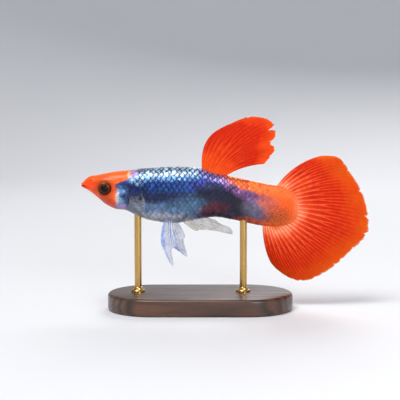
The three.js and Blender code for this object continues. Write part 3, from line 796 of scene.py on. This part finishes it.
class GUPPY_OT_scales(bpy.types.Operator):
    """Overlapping rows of scales over the trunk and the tail's base"""

    bl_idname = "guppy.scales"
    bl_label = "Scales"

    def execute(self, context):
        settings = context.scene.guppy
        draw = random.Random(SCALE_SEED)
        scattered = scale_places(settings.scale_pitch, settings.scale_rows)
        draws = np.array([
            (draw.uniform(-1, 1), draw.uniform(-1, 1), draw.random()) for _ in scattered
        ])
        material = scale_material()
        scale = model_scale()
        left = np.cos(scattered[:, 1]) < 0
        for name, chosen in (("scales_left", left), ("scales_right", ~left)):
            coat = build_coat(name, scale, scattered[chosen], draws[chosen])
            face_outwards(coat)
            smooth_by_angle(coat, 50)
            declare(coat, material, "flank_skin")
        bpy.data.objects.remove(scale)
        return {"FINISHED"}


# Eyes


def eye_material():
    """A dark pupil in a brown and orange iris, under a clear glossy lens."""
    made, tree, shader = new_material(
        "eye", paint(60, 22, 8), Roughness=0.35, Specular_IOR_Level=0.1,
        Coat_Weight=0.8, Coat_Roughness=0.015, Coat_IOR=1.2,
    )
    place = fish_place(tree)
    local = node(
        tree, "VectorMath", {0: place, 1: (EYE["x"], 0, EYE["z"])}, operation="SUBTRACT"
    )
    parts = node(tree, "SeparateXYZ", {0: local.outputs[0]})
    x, z = parts.outputs["X"], parts.outputs["Z"]
    squares = reckon(tree, "ADD", times(tree, x, x), times(tree, z, z))
    away = reckon(tree, "SQRT", squares)
    turn = reckon(tree, "ARCTAN2", z, x)
    spokes = node(
        tree, "TexNoise", {"W": times(tree, turn, 9.0), "Scale": 1.0, "Detail": 2.0},
        noise_dimensions="1D",
    )
    height = fade(tree, z, -0.7, 0.8)
    inner = blend(tree, height, paint(26, 6, 4), paint(72, 28, 4))
    outer = blend(tree, height, paint(116, 28, 6), paint(186, 70, 4))
    iris = blend(tree, fade(tree, away, 0.58, 0.98), inner, outer)
    behind = fade(tree, x, 0.3, 0.9, 0, 0.5)
    iris = blend(tree, behind, iris, paint(84, 20, 8))
    iris = blend(tree, fade(tree, spokes.outputs[0], 0.35, 0.7, 0, 0.35), iris, paint(48, 14, 4))
    ring = times(tree, fade(tree, away, 0.49, 0.52), fade(tree, away, 0.58, 0.53))
    iris = blend(tree, times(tree, ring, 0.3), iris, paint(170, 96, 30))
    color = blend(tree, fade(tree, away, 0.51, 0.47), iris, paint(3, 2, 3))
    feed(shader, "Base Color", color)
    return made


# Half the eyeball's outline, from its back to the middle of the lens, as the
# distance from its axis and the depth
EYE_PROFILE = [
    (0, -0.75), (0.5, -0.66), (0.85, -0.4), (EYE["radius"], 0.0), (0.97, 0.18), (0.88, 0.33), (0.72, 0.44),
    (EYE["lens"] + 0.05, 0.5), (EYE["lens"], 0.53), (0.44, 0.62), (0.3, 0.69), (0.15, 0.72), (0, 0.73),
]


class GUPPY_OT_eyes(bpy.types.Operator):
    """Two eyes with a bulging lens, set in their sockets"""

    bl_idname = "guppy.eyes"
    bl_label = "Eyes"

    def execute(self, context):
        material = eye_material()
        stations = np.linspace(0, 1, len(EYE_PROFILE))
        aways, depths = zip(*EYE_PROFILE)
        for side, word in ((-1, "left"), (1, "right")):
            deselect()
            bpy.ops.mesh.primitive_uv_sphere_add(segments=64, ring_count=48, radius=1)
            eye = new_piece(f"eye_ball_{word}")
            ball = places(eye)
            share = np.arccos(np.clip(-ball[:, 2], -1, 1)) / math.pi
            turn = np.arctan2(ball[:, 1], ball[:, 0])
            away = np.abs(smooth(list(zip(stations, aways)))(share))
            depth = smooth(list(zip(stations, depths)))(share)
            away[np.abs(ball[:, 2]) > 0.99999] = 0
            points = np.stack([
                EYE["x"] + away * np.cos(turn),
                side * (eye_middle() + depth),
                EYE["z"] + away * np.sin(turn),
            ], -1)
            put(eye, to_world(points))
            face_outwards(eye)
            declare(eye, material, "eye", f"eye_{word}")
            bpy.ops.object.shade_smooth()
        return {"FINISHED"}


# Fins


def through(points, share):
    """A smooth curve through evenly spaced points, at each share of its length."""
    points = np.asarray(points, float)
    last = len(points) - 1
    at = np.clip(share, 0, 1) * last
    i = np.minimum(at.astype(int), last - 1)
    t = (at - i)[..., None]
    here, there = points[i], points[i + 1]
    before = np.where((i > 0)[..., None], points[np.maximum(i - 1, 0)], 2 * here - there)
    beyond = np.where(
        (i < last - 1)[..., None], points[np.minimum(i + 2, last)], 2 * there - here
    )
    return 0.5 * (
        2 * here + (there - before) * t
        + (2 * before - 5 * here + 4 * there - beyond) * t**2
        + (3 * here - before - 3 * there + beyond) * t**3
    )


def ray_ridges(across, along, rays, forks):
    """1 on the middle of a ray and 0 between two: each ray forks towards the margin."""
    place = across * rays % 1 - 0.5
    ridge = np.zeros_like(place)
    first = 0.25 * step(*forks[0], along)
    second = 0.115 * step(*forks[1], along)
    width = 0.2 - 0.07 * step(*forks[0], along) - 0.055 * step(*forks[1], along)
    for one in (-1, 1):
        for two in (-1, 1):
            ridge = np.maximum(ridge, bell(place - one * first - two * second, width))
    return ridge


def margin(across, rays, notch, fringe, seed):
    """How far the fin reaches at each place along its margin, as a share."""
    draw = random.Random(seed)
    gaps = np.array([draw.random() for _ in range(rays + 2)])
    tips = np.array([draw.random() for _ in range(4 * rays + 4)])
    cell = across * rays
    tear = bell((cell + 0.5) % 1 - 0.5, 0.16) * gaps[(cell + 0.5).astype(int)] ** 2
    fine = (0.5 - 0.5 * np.cos(2 * math.pi * 4 * cell)) * (0.4 + 0.6 * tips[(4 * cell).astype(int)])
    return 1 - notch * tear - fringe * (1 - fine)


class FinPlan:
    """What one fin is made from: key rays in the fish's frame and how fine it is."""

    def __init__(self, roots, bends, tips, rays, **details):
        self.lines = [np.asarray(part, float) for part in (roots, bends, tips)]
        self.rays = rays
        self.notch = details.get("notch", 0.05)
        self.fringe = details.get("fringe", 0.012)
        self.seed = details.get("seed", 1)
        self.sway = details.get("sway", lambda across, along: 0 * across)
        self.forks = details.get("forks", ((0.2, 0.5), (0.55, 0.85)))
        self.thick = details.get("thick", (0.2, 0.05))
        self.rows = details.get("rows", 72)
        self.per_ray = details.get("per_ray", 14)

    def middle(self, across, along):
        root, bend, tip = (through(line, across) for line in self.lines)
        t = along[..., None]
        point = root * (1 - t) ** 2 + bend * 2 * t * (1 - t) + tip * t**2
        point[..., 1] += self.sway(across, along)
        return point


def build_fin(name, plan, relief):
    """A membrane with raised rays, thickest at its root, from a flat grid."""
    deselect()
    bpy.ops.mesh.primitive_grid_add(
        x_subdivisions=plan.rays * plan.per_ray, y_subdivisions=plan.rows, size=2, calc_uvs=True
    )
    fin = new_piece(name)
    flat = places(fin)
    across, share = (flat[:, 0] + 1) / 2, (flat[:, 1] + 1) / 2
    along = share * margin(across, plan.rays, plan.notch, plan.fringe, plan.seed)
    put(fin, to_world(plan.middle(across, along)))
    ridge = ray_ridges(across, along, plan.rays, plan.forks)
    root_thick, edge_thick = plan.thick
    membrane = root_thick + (edge_thick - root_thick) * along**0.6
    full = membrane + 2 * relief * ridge * (1 - 0.6 * along)
    full *= 1 - 0.6 * step(0.97, 1, share)
    widest = float(full.max())
    weights = fin.vertex_groups.new(name="thickness")
    for index, value in enumerate(full / widest):
        weights.add([index], float(value), "REPLACE")
    store(fin.data, ray=ridge, along=along, across=across)
    modify(
        fin, "SOLIDIFY", thickness=widest * MM, offset=0, vertex_group="thickness",
        thickness_vertex_group=0.02, use_rim=True,
    )
    fin.vertex_groups.clear()
    face_outwards(fin)
    smooth_by_angle(fin, 60)
    return fin


def ray_streaks_group():
    """Colour between the rays and on them, by the ray's height and its own cloudy streaks."""
    group, inlet, outlet = new_group(
        "Ray streaks",
        [("Membrane", "NodeSocketColor"), ("Ray", "NodeSocketColor"), ("Strength", "NodeSocketFloat")],
        [("Color", "NodeSocketColor"), ("Mask", "NodeSocketFloat"), ("Height", "NodeSocketFloat")],
    )
    ray = stored(group, "ray")
    along = stored(group, "along")
    cloud = noise(group, fish_place(group), 0.7).outputs[0]
    uneven = times(group, fade(group, ray, 0.25, 0.95), fade(group, cloud, 0.3, 0.65, 0.45, 1))
    faded = times(group, uneven, fade(group, along, 0.25, 0.8, 1, 0.55))
    mask = times(group, faded, inlet.outputs["Strength"])
    color = blend(group, mask, inlet.outputs["Membrane"], inlet.outputs["Ray"])
    joints = reckon(group, "SINE", times(group, along, 260.0))
    beads = times(group, times(group, joints, 0.25), fade(group, ray, 0.5, 1))
    fine = times(group, noise(group, fish_place(group), 0.12).outputs[0], 0.6)
    feed(outlet, "Color", color)
    feed(outlet, "Mask", mask)
    feed(outlet, "Height", reckon(group, "ADD", beads, fine))
    return group


def red_fin_material(name, membrane_stops, ray_stops, strength):
    """A fleshy red fin. The stops give colours from its root (0) to its margin (1)."""
    made, tree, shader = new_material(
        name, paint(214, 60, 20), Roughness=0.6, Specular_IOR_Level=0.08,
        Subsurface_Weight=0.5, Subsurface_Scale=0.4 * MM, Subsurface_Radius=(1.0, 0.4, 0.15),
    )
    along = stored(tree, "along")
    cloud = noise(tree, fish_place(tree), 3.0, 2.0).outputs[0]
    shifted = reckon(tree, "ADD", along, times(tree, reckon(tree, "SUBTRACT", cloud, 0.5), 0.4))
    ramps = []
    for stops in (membrane_stops, ray_stops):
        ramp = node(tree, "ValToRGB", {0: shifted})
        while len(ramp.color_ramp.elements) < len(stops):
            ramp.color_ramp.elements.new(0.5)
        for element, (position, color) in zip(ramp.color_ramp.elements, stops):
            element.position = position
            element.color = color
        ramps.append(ramp.outputs[0])
    streaks = use_group(
        tree, ray_streaks_group, {"Membrane": ramps[0], "Ray": ramps[1], "Strength": strength}
    )
    mottled = use_group(
        tree, mottling_group, {"Color": streaks.outputs["Color"], "Size": 0.5, "Amount": 0.4}
    )
    feed(shader, "Base Color", mottled.outputs["Color"])
    feed(shader, "Normal", bump(tree, streaks.outputs["Height"], 0.02))
    return made


def clear_fin_material(name, membrane, ray, edge, opacity):
    """A clear fin with a tinted leading edge: opacity is that of the membrane and of a ray."""
    made, tree, shader = new_material(
        name, membrane, Roughness=0.3, Specular_IOR_Level=0.5, Coat_Weight=0.3, Coat_Roughness=0.15,
    )
    streaks = use_group(
        tree, ray_streaks_group, {"Membrane": membrane, "Ray": ray, "Strength": 1.0}
    )
    across = stored(tree, "across")
    leading = fade(tree, across, 0.32, 0.12, 0, 0.9)
    edged = blend(tree, leading, streaks.outputs["Color"], edge)
    feed(shader, "Base Color", edged)
    cloud = noise(tree, fish_place(tree), 0.9).outputs[0]
    patchy = times(tree, reckon(tree, "SUBTRACT", cloud, 0.45), 0.9)
    seen = fade(tree, streaks.outputs["Mask"], 0, 1, *opacity)
    feed(shader, "Alpha", reckon(tree, "ADD", seen, patchy, clamp=True))
    feed(shader, "Normal", bump(tree, streaks.outputs["Height"], 0.02))
    return made


FAN = {
    "x": 26.18, "z": -3.15, "root": 3.05, "sunk": 0.5, "arch": 0.2,
    "root_angles": (70, -107), "bend_angles": (62, -97), "tip_angles": (43, -85),
}
fan_reach = smooth([
    (-85, 8.3), (-77, 9.9), (-68, 11.5), (-60, 12.2), (-48, 12.6), (-29, 13.4), (-15, 14.7),
    (-8, 14.5), (6, 13.65), (21, 12.7), (34, 12.15), (43, 10.3),
])
# How far the tail fin leans to the right, waves and ripples along its margin
TAIL_LEAN = 1.1
TAIL_WAVE = 0.3
TAIL_RIPPLE = 0.08


def fan_point(degrees, radius):
    """A point of the tail fin, by its angle above the level line and its distance from the fan's middle."""
    turn = np.radians(degrees)
    flat = np.zeros_like(turn)
    return np.stack([FAN["x"] + radius * np.cos(turn), flat, FAN["z"] + radius * np.sin(turn)], -1)


class GUPPY_OT_tail_fin(bpy.types.Operator):
    """The wide red-orange fan round the end of the tail's base"""

    bl_idname = "guppy.tail_fin"
    bl_label = "Tail fin"

    def execute(self, context):
        settings = context.scene.guppy
        share = np.linspace(0, 1, 49)

        def angle(name):
            start, end = FAN[name]
            return start + (end - start) * share

        reach = fan_reach(angle("tip_angles")) + 0.1
        middle = (reach + FAN["root"]) / 2 + FAN["arch"]

        def sway(across, along):
            ripple = TAIL_RIPPLE * along**3 * np.sin(31 * across + 2)
            return along**2 * (TAIL_LEAN + TAIL_WAVE * np.sin(9 * across)) + ripple

        plan = FinPlan(
            fan_point(angle("root_angles"), np.full_like(share, FAN["root"] - FAN["sunk"])),
            fan_point(angle("bend_angles"), middle),
            fan_point(angle("tip_angles"), reach),
            rays=26, notch=0.035, fringe=0.03, seed=3, sway=sway, thick=(0.34, 0.06), rows=80, per_ray=12,
            forks=((0.3, 0.55), (0.62, 0.9)),
        )
        fin = build_fin("tail_fan", plan, settings.ray_relief)
        red, orange = settings.fin_red, settings.fin_orange
        material = red_fin_material(
            "tail fin",
            [(0.0, paint(232, 92, 20)), (0.1, paint(244, 136, 92)), (0.23, paint(222, 66, 22)),
             (0.38, red), (0.66, red), (0.84, paint(206, 66, 6)), (1.0, orange)],
            [(0.0, paint(240, 110, 44)), (0.1, paint(255, 190, 160)), (0.26, paint(252, 120, 76)),
             (0.5, paint(242, 90, 34)), (0.85, paint(222, 84, 12)), (1.0, paint(222, 104, 18))],
            0.78,
        )
        declare(fin, material, "red_fin", "tail_fin")
        return {"FINISHED"}


def upright_plan(roots, outline, **details):
    """A fin in the fish's middle plane, from the (x, z) of each root, bend and tip."""
    lines = (roots, [bend for bend, _ in outline], [tip for _, tip in outline])
    return FinPlan(*([(x, 0, z) for x, z in line] for line in lines), **details)


DORSAL_RAYS = [
    ((16.3, 6.6), (19.9, 7.9)), ((17.4, 6.8), (22.3, 9.05)), ((19, 6.7), (24.2, 9.5)),
    ((20.9, 6.4), (26.7, 8.85)), ((21.6, 5.5), (27.3, 6.9)), ((21.9, 4.8), (26.6, 5.75)),
    ((22.1, 4.1), (27.2, 4.85)), ((22, 2.6), (25.7, 2.85)),
]
DORSAL_BASE = {"front": 17.0, "rear": 19.6, "sunk": 0.7}
ANAL_RAYS = [
    ((15, -6.1), (16.1, -6.6)), ((15.8, -5.95), (17.2, -6.45)), ((16.9, -5.95), (19, -6.6)),
    ((18.5, -6), (21.3, -7.05)), ((18.6, -5.5), (21, -6.15)), ((18.2, -5.25), (19.6, -5.55)),
    ((18, -5), (18.8, -4.95)),
]
ANAL_BASE = {"front": 13.7, "rear": 17.4, "sunk": 0.6}


class GUPPY_OT_dorsal_fin(bpy.types.Operator):
    """The tall red fin that sweeps back from the hind part of the back"""

    bl_idname = "guppy.dorsal_fin"
    bl_label = "Dorsal fin"

    def execute(self, context):
        settings = context.scene.guppy
        base = np.linspace(DORSAL_BASE["front"], DORSAL_BASE["rear"], len(DORSAL_RAYS))
        plan = upright_plan(
            [(x, back_line(x) - DORSAL_BASE["sunk"]) for x in base], DORSAL_RAYS,
            rays=12, notch=0.07, fringe=0.02, seed=8, thick=(0.3, 0.06), rows=76,
            sway=lambda across, along: 0.35 * along**2 * np.sin(5 * across + 0.4),
            forks=((0.35, 0.6), (0.66, 0.92)),
        )
        fin = build_fin("dorsal_sail", plan, settings.ray_relief)
        material = red_fin_material(
            "dorsal fin",
            [(0.0, paint(232, 84, 20)), (0.25, paint(222, 66, 18)), (0.45, settings.fin_red),
             (0.78, settings.fin_red), (1.0, paint(222, 74, 14))],
            [(0.0, paint(252, 122, 38)), (0.4, paint(240, 84, 30)), (0.8, paint(226, 52, 24)),
             (1.0, paint(238, 98, 34))],
            0.6,
        )
        declare(fin, material, "red_fin", "dorsal_fin")
        return {"FINISHED"}


class GUPPY_OT_anal_fin(bpy.types.Operator):
    """The clear fin that trails back under the belly to a point"""

    bl_idname = "guppy.anal_fin"
    bl_label = "Anal fin"

    def execute(self, context):
        settings = context.scene.guppy
        base = np.linspace(ANAL_BASE["front"], ANAL_BASE["rear"], len(ANAL_RAYS))
        plan = upright_plan(
            [(x, belly_line(x) + ANAL_BASE["sunk"]) for x in base], ANAL_RAYS,
            rays=9, notch=0.09, fringe=0.03, seed=12, thick=(0.26, 0.06), rows=60,
            sway=lambda across, along: 0.12 * along * np.sin(7 * across),
            forks=((0.4, 0.7), (0.7, 0.95)),
        )
        fin = build_fin("anal_blade", plan, settings.ray_relief)
        material = clear_fin_material(
            "anal fin", paint(176, 170, 166), paint(226, 222, 216), paint(196, 178, 160), (0.35, 0.92)
        )
        declare(fin, material, "clear_fin", "anal_fin")
        return {"FINISHED"}


# For each ray of a pelvic fin, the x of its root and the (x, z) of its bend and tip
PELVIC_RAYS = {
    "left": [
        (11.75, (11.05, -6.8), (11.3, -8.3)), (11.95, (11.4, -8.4), (12.65, -11.2)),
        (12.1, (11.9, -8.3), (13, -11)), (12.4, (12.3, -7.6), (12.7, -9.2)),
        (12.75, (13, -7.2), (13.4, -8.7)),
    ],
    "right": [
        (12.2, (12, -7.3), (12.6, -8.9)), (12.45, (13, -8.4), (14.6, -10.4)),
        (12.65, (13.4, -8.2), (14.9, -10.2)), (12.9, (13.8, -7), (14.35, -8.4)),
        (13.2, (14.1, -6.2), (14.6, -7.5)),
    ],
}
PELVIC_BASE = {"apart": 0.85, "sunk": 0.75}
PELVIC_SPLAY = 0.75


class GUPPY_OT_pelvic_fins(bpy.types.Operator):
    """The pair of clear fins that hang from the belly, with long bluish points"""

    bl_idname = "guppy.pelvic_fins"
    bl_label = "Pelvic fins"

    def execute(self, context):
        settings = context.scene.guppy
        material = clear_fin_material(
            "pelvic fins", paint(164, 172, 200), paint(232, 238, 252), paint(104, 140, 226), (0.28, 0.92)
        )
        apart = PELVIC_BASE["apart"]
        for word, rays in PELVIC_RAYS.items():
            side = -1 if word == "left" else 1
            plan = FinPlan(
                [(x, side * apart, float(belly_line(x)) + PELVIC_BASE["sunk"]) for x, _, _ in rays],
                [(x, side * (apart + 0.3 * PELVIC_SPLAY), z) for _, (x, z), _ in rays],
                [(x, side * (apart + PELVIC_SPLAY), z) for _, _, (x, z) in rays],
                rays=6, notch=0.09, fringe=0.03, seed=5 + side, thick=(0.24, 0.06), rows=60,
                forks=((0.35, 0.6), (0.65, 0.95)),
            )
            fin = build_fin(f"pelvic_streamer_{word}", plan, settings.ray_relief)
            declare(fin, material, "clear_fin", f"pelvic_fin_{word}")
        return {"FINISHED"}


# Where a pectoral fin's root is, and how far the fin reaches each way
PECTORAL = {
    "x": 7.3, "z": -2.2, "half": 0.5, "sunk": 0.4, "back": 1.9, "out": 2.0, "down": 0.35, "spread": 1.25,
    "key_rays": 9,
}


class GUPPY_OT_pectoral_fins(bpy.types.Operator):
    """The pair of small glassy fans behind the gill covers"""

    bl_idname = "guppy.pectoral_fins"
    bl_label = "Pectoral fins"

    def execute(self, context):
        settings = context.scene.guppy
        material = clear_fin_material(
            "pectoral fins", paint(150, 156, 168), paint(200, 204, 214), paint(190, 196, 208), (0.02, 0.22)
        )
        root_x = PECTORAL["x"]
        for word, side in (("left", -1), ("right", 1)):
            lines = ([], [], [])
            for across in np.linspace(1, -1, PECTORAL["key_rays"]):
                z = PECTORAL["z"] + across * PECTORAL["half"]
                out = side_of(root_x, z)
                reach = 1 - 0.25 * across**2
                lines[0].append((root_x - 0.2, side * (out - PECTORAL["sunk"]), z))
                for line, share in ((lines[1], 0.5), (lines[2], 1)):
                    line.append((
                        root_x + PECTORAL["back"] * reach * share,
                        side * (out + PECTORAL["out"] * reach * share**1.3),
                        z + reach * share * (PECTORAL["spread"] * across - PECTORAL["down"]),
                    ))
            plan = FinPlan(
                *lines, rays=9, notch=0.05, fringe=0.02, seed=20 + side, thick=(0.16, 0.04), rows=48,
                forks=((0.4, 0.7), (0.75, 0.98)),
            )
            fin = build_fin(f"pectoral_fan_{word}", plan, settings.ray_relief * 0.7)
            declare(fin, material, "clear_fin", f"pectoral_fin_{word}")
        return {"FINISHED"}


# Stand


def wood_material(color):
    """Dark waxed wood, with its grain along the base."""
    made, tree, shader = new_material(
        "waxed wood", color, Roughness=0.4, Coat_Weight=0.35, Coat_Roughness=0.2,
    )
    position = node(tree, "TexCoord").outputs["Object"]
    stretched = node(tree, "Mapping", {"Vector": position, "Scale": (90, 900, 900)})
    grain = node(
        tree, "TexNoise",
        {"Vector": stretched.outputs[0], "Scale": 1.0, "Detail": 6, "Roughness": 0.65, "Distortion": 0.6},
    )
    bands = node(tree, "Mapping", {"Vector": position, "Scale": (60, 260, 260)})
    rings = node(
        tree, "TexWave",
        {"Vector": bands.outputs[0], "Scale": 1.0, "Distortion": 5.0, "Detail": 2.0, "Detail Scale": 1.2},
        bands_direction="Y",
    )
    dark = tuple(channel * 0.4 for channel in color[:3]) + (1,)
    light = tuple(min(1, channel * 1.7) for channel in color[:3]) + (1,)
    figured = blend(tree, rings.outputs["Fac"], dark, light)
    pores = fade(tree, grain.outputs[0], 0.35, 0.6, 0.45, 1)
    colored = blend(tree, pores, dark, figured)
    feed(shader, "Base Color", colored)
    feed(shader, "Roughness", fade(tree, grain.outputs[0], 0.3, 0.7, 0.5, 0.3))
    feed(shader, "Normal", bump(tree, grain.outputs[0], 0.04))
    return made


def brass_material():
    """Polished brass with fine brush marks."""
    made, tree, shader = new_material("brass", paint(196, 158, 92), Roughness=0.24, Metallic=1.0)
    position = node(tree, "TexCoord").outputs["Object"]
    stretched = node(tree, "Mapping", {"Vector": position, "Scale": (6000, 6000, 600)})
    brushed = node(tree, "TexNoise", {"Vector": stretched.outputs[0], "Scale": 1.0, "Detail": 3})
    feed(shader, "Roughness", fade(tree, brushed.outputs[0], 0.3, 0.7, 0.16, 0.34))
    warm = blend(tree, brushed.outputs[0], paint(172, 132, 70), paint(214, 178, 112))
    feed(shader, "Base Color", warm)
    feed(shader, "Normal", bump(tree, brushed.outputs[0], 0.004))
    return made


def turn_on_lathe(name, x, outline, top_open=False):
    """A round piece about an upright axis at x, from the (radius, height) pairs of its outline."""
    deselect()
    (radius, z), *rest = outline
    bpy.ops.mesh.primitive_circle_add(vertices=64, radius=radius, location=(x, 0, z), fill_type="NGON")
    piece = new_piece(name)
    bpy.ops.object.transform_apply(location=True, rotation=True, scale=True)
    bpy.ops.object.mode_set(mode="EDIT")
    bpy.ops.mesh.select_all(action="SELECT")
    for new_radius, new_z in rest:
        bpy.ops.mesh.extrude_region_move(TRANSFORM_OT_translate={"value": (0, 0, new_z - z)})
        scale = new_radius / radius
        bpy.ops.transform.resize(value=(scale, scale, 1), center_override=(x, 0, new_z))
        radius, z = new_radius, new_z
    if top_open:
        bpy.ops.mesh.delete(type="ONLY_FACE")
    bpy.ops.object.mode_set(mode="OBJECT")
    face_outwards(piece)
    return piece


def select_where(piece, test):
    """Selects, in edit mode, the vertices that pass a test."""
    shape = bmesh.from_edit_mesh(piece.data)
    for vertex in shape.verts:
        vertex.select_set(bool(test(vertex.co)))
    shape.select_flush(True)
    bmesh.update_edit_mesh(piece.data)


RIM = 0.9 * MM  # the flat round the base's top, outside its groove
GROOVE_SLOPE = 0.16 * MM
GROOVE_DEPTH = 0.22 * MM
EDGE_ROUNDING = 0.45 * MM
ROD_RADIUS = 0.5 * MM
ROD_INTO_BODY = 0.5 * MM
ROD_INTO_BASE = 0.02 * MM
# A ferrule's outline, as shares of its radius and heights in millimetres
FERRULE = [(1, 0), (1, 0.28), (0.94, 0.36), (0.72, 0.4), (0.68, 0.62), (0.62, 0.72)]
FERRULE_HEIGHT = 0.78 * MM
NEAR = 1e-6  # within this many metres of a plane counts as on it


class GUPPY_OT_stand(bpy.types.Operator):
    """The stand: a wooden base with rounded ends and two brass rods"""

    bl_idname = "guppy.stand"
    bl_label = "Stand"

    def execute(self, context):
        width = STAND_HIGH.y - STAND_LOW.y
        height = STAND_HIGH.z - STAND_LOW.z
        stretch = (STAND_HIGH.x - STAND_LOW.x - width) / 2
        deselect()
        bpy.ops.mesh.primitive_cylinder_add(
            vertices=160, radius=width / 2, depth=height, location=(0, 0, height / 2)
        )
        base = new_piece("base")
        bpy.ops.object.transform_apply(location=True, rotation=True, scale=True)
        bpy.ops.object.mode_set(mode="EDIT")
        for side in (-1, 1):
            select_where(base, lambda co: co.x * side > -NEAR * side)
            bpy.ops.transform.translate(value=(side * stretch, 0, 0))
        select_where(base, lambda co: co.z > height - NEAR)
        bpy.ops.mesh.inset(thickness=RIM)
        for way in (-1, 1):
            bpy.ops.mesh.inset(thickness=GROOVE_SLOPE)
            bpy.ops.transform.translate(value=(0, 0, way * GROOVE_DEPTH))
        bpy.ops.object.mode_set(mode="OBJECT")
        modify(
            base, "BEVEL", width=EDGE_ROUNDING, segments=6, limit_method="ANGLE",
            angle_limit=math.radians(60), use_clamp_overlap=True,
        )
        declare(base, wood_material(tuple(context.scene.guppy.wood)), "stand_wood", "stand_base")
        smooth_by_angle(base, 30)
        brass = brass_material()
        for word in ("front", "rear"):
            low, high = (Vector(corner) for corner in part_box(f"stand_rod_{word}"))
            x = (low.x + high.x) / 2
            foot = height - ROD_INTO_BASE
            ferrule = (high.x - low.x) / 2
            belly = float(belly_line((x - SNOUT[0]) / MM)) * MM
            outline = [(ferrule * share, foot + rise * MM) for share, rise in FERRULE]
            outline += [(ROD_RADIUS, foot + FERRULE_HEIGHT), (ROD_RADIUS, SNOUT[2] + belly + ROD_INTO_BODY)]
            piece = turn_on_lathe(f"rod_{word}", x, outline)
            declare(piece, brass, "stand_brass", f"stand_rod_{word}")
            smooth_by_angle(piece, 35)
        return {"FINISHED"}


# Stage, lights and camera

PHOTO_PIXELS = 400
PIXEL_SIZE = 0.14 * MM
SNOUT_PIXEL = (81, 184.2)
LENS = 85
SENSOR = 36
# The floor is flat as far as its radius, and curves up into a round wall. The
# sizes of the floor and the lights are in metres.
FLOOR_RADIUS = 0.3
WALL_RADIUS = 0.6
WALL_HEIGHT = 0.9
FILLET_STEPS = 16
LIT_POINT = (0, 0, 0.016)
LIGHTS = (
    ("key", (-0.10, -0.16, 0.36), 0.2, 1.25, (1.0, 0.98, 0.95)),
    ("fill", (0.15, -0.32, 0.12), 0.14, 0.48, (0.93, 0.96, 1.0)),
    ("back", (0.1, 0.32, 0.26), 0.26, 0.7, (1.0, 0.98, 0.96)),
)
SKY_STRENGTH = 0.22


def soft_light(name, place, size, power, color):
    """A round lamp that shines on the fish. The camera doesn't see the lamp itself."""
    data = bpy.data.lights.new(name, "AREA")
    data.shape = "DISK"
    data.size = size
    data.energy = power
    data.color = color
    light = bpy.data.objects.new(name, data)
    light.location = place
    light.visible_camera = False
    light.rotation_euler = (Vector(LIT_POINT) - Vector(place)).to_track_quat("-Z", "Y").to_euler()
    bpy.context.collection.objects.link(light)


class GUPPY_OT_stage(bpy.types.Operator):
    """A plain pale floor, soft lights and the photograph's camera"""

    bl_idname = "guppy.stage"
    bl_label = "Stage"

    def execute(self, context):
        fillet = WALL_RADIUS - FLOOR_RADIUS
        outline = [(FLOOR_RADIUS, 0)]
        for i in range(1, FILLET_STEPS + 1):
            turn = math.pi / 2 * i / FILLET_STEPS
            outline.append((FLOOR_RADIUS + fillet * math.sin(turn), fillet * (1 - math.cos(turn))))
        outline.append((WALL_RADIUS, WALL_HEIGHT))
        floor = turn_on_lathe("floor", 0, outline, top_open=True)
        bpy.ops.object.shade_smooth()
        pale, _, _ = new_material("pale floor", paint(226, 228, 232), Roughness=0.7)
        floor.data.materials.append(pale)

        for light in LIGHTS:
            soft_light(*light)
        world = bpy.data.worlds.new("studio")
        world.use_nodes = True
        sky = world.node_tree.nodes["Background"]
        sky.inputs["Color"].default_value = paint(232, 236, 242)
        sky.inputs["Strength"].default_value = SKY_STRENGTH
        context.scene.world = world
        context.scene.view_settings.view_transform = "Standard"

        frame_width = PHOTO_PIXELS * PIXEL_SIZE
        aim = Vector((
            SNOUT[0] + (PHOTO_PIXELS / 2 - SNOUT_PIXEL[0]) * PIXEL_SIZE,
            0,
            SNOUT[2] + (SNOUT_PIXEL[1] - PHOTO_PIXELS / 2) * PIXEL_SIZE,
        ))
        distance = frame_width * LENS / SENSOR
        down = context.scene.guppy.camera_height
        data = bpy.data.cameras.new("camera")
        data.lens = LENS
        data.sensor_width = SENSOR
        data.clip_start = 0.005
        camera = bpy.data.objects.new("camera", data)
        camera.location = aim + distance * Vector((0, -math.cos(down), math.sin(down)))
        camera.rotation_euler = (math.pi / 2 - down, 0, 0)
        context.collection.objects.link(camera)
        context.scene.camera = camera
        return {"FINISHED"}


OPERATORS = (
    GUPPY_OT_stage, GUPPY_OT_skin, GUPPY_OT_scales, GUPPY_OT_eyes, GUPPY_OT_tail_fin,
    GUPPY_OT_dorsal_fin, GUPPY_OT_anal_fin, GUPPY_OT_pelvic_fins, GUPPY_OT_pectoral_fins, GUPPY_OT_stand,
)


class GUPPY_PT_panel(bpy.types.Panel):
    """The steps that build the model, in order"""

    bl_idname = "GUPPY_PT_panel"
    bl_label = "Guppy"
    bl_space_type = "VIEW_3D"
    bl_region_type = "UI"
    bl_category = "Guppy"

    def draw(self, context):
        for name in GuppySettings.__annotations__:
            self.layout.prop(context.scene.guppy, name)
        for operator in OPERATORS:
            self.layout.operator(operator.bl_idname)


CLASSES = (GuppySettings, *OPERATORS, GUPPY_PT_panel)


def register():
    for each in CLASSES:
        bpy.utils.register_class(each)
    bpy.types.Scene.guppy = PointerProperty(type=GuppySettings)


def unregister():
    del bpy.types.Scene.guppy
    for each in reversed(CLASSES):
        bpy.utils.unregister_class(each)


def main():
    register()
    bpy.ops.guppy.stage()
    bpy.ops.guppy.skin()
    bpy.ops.guppy.scales()
    bpy.ops.guppy.eyes()
    bpy.ops.guppy.tail_fin()
    bpy.ops.guppy.dorsal_fin()
    bpy.ops.guppy.anal_fin()
    bpy.ops.guppy.pelvic_fins()
    bpy.ops.guppy.pectoral_fins()
    bpy.ops.guppy.stand()


if __name__ == "__main__":
    main()
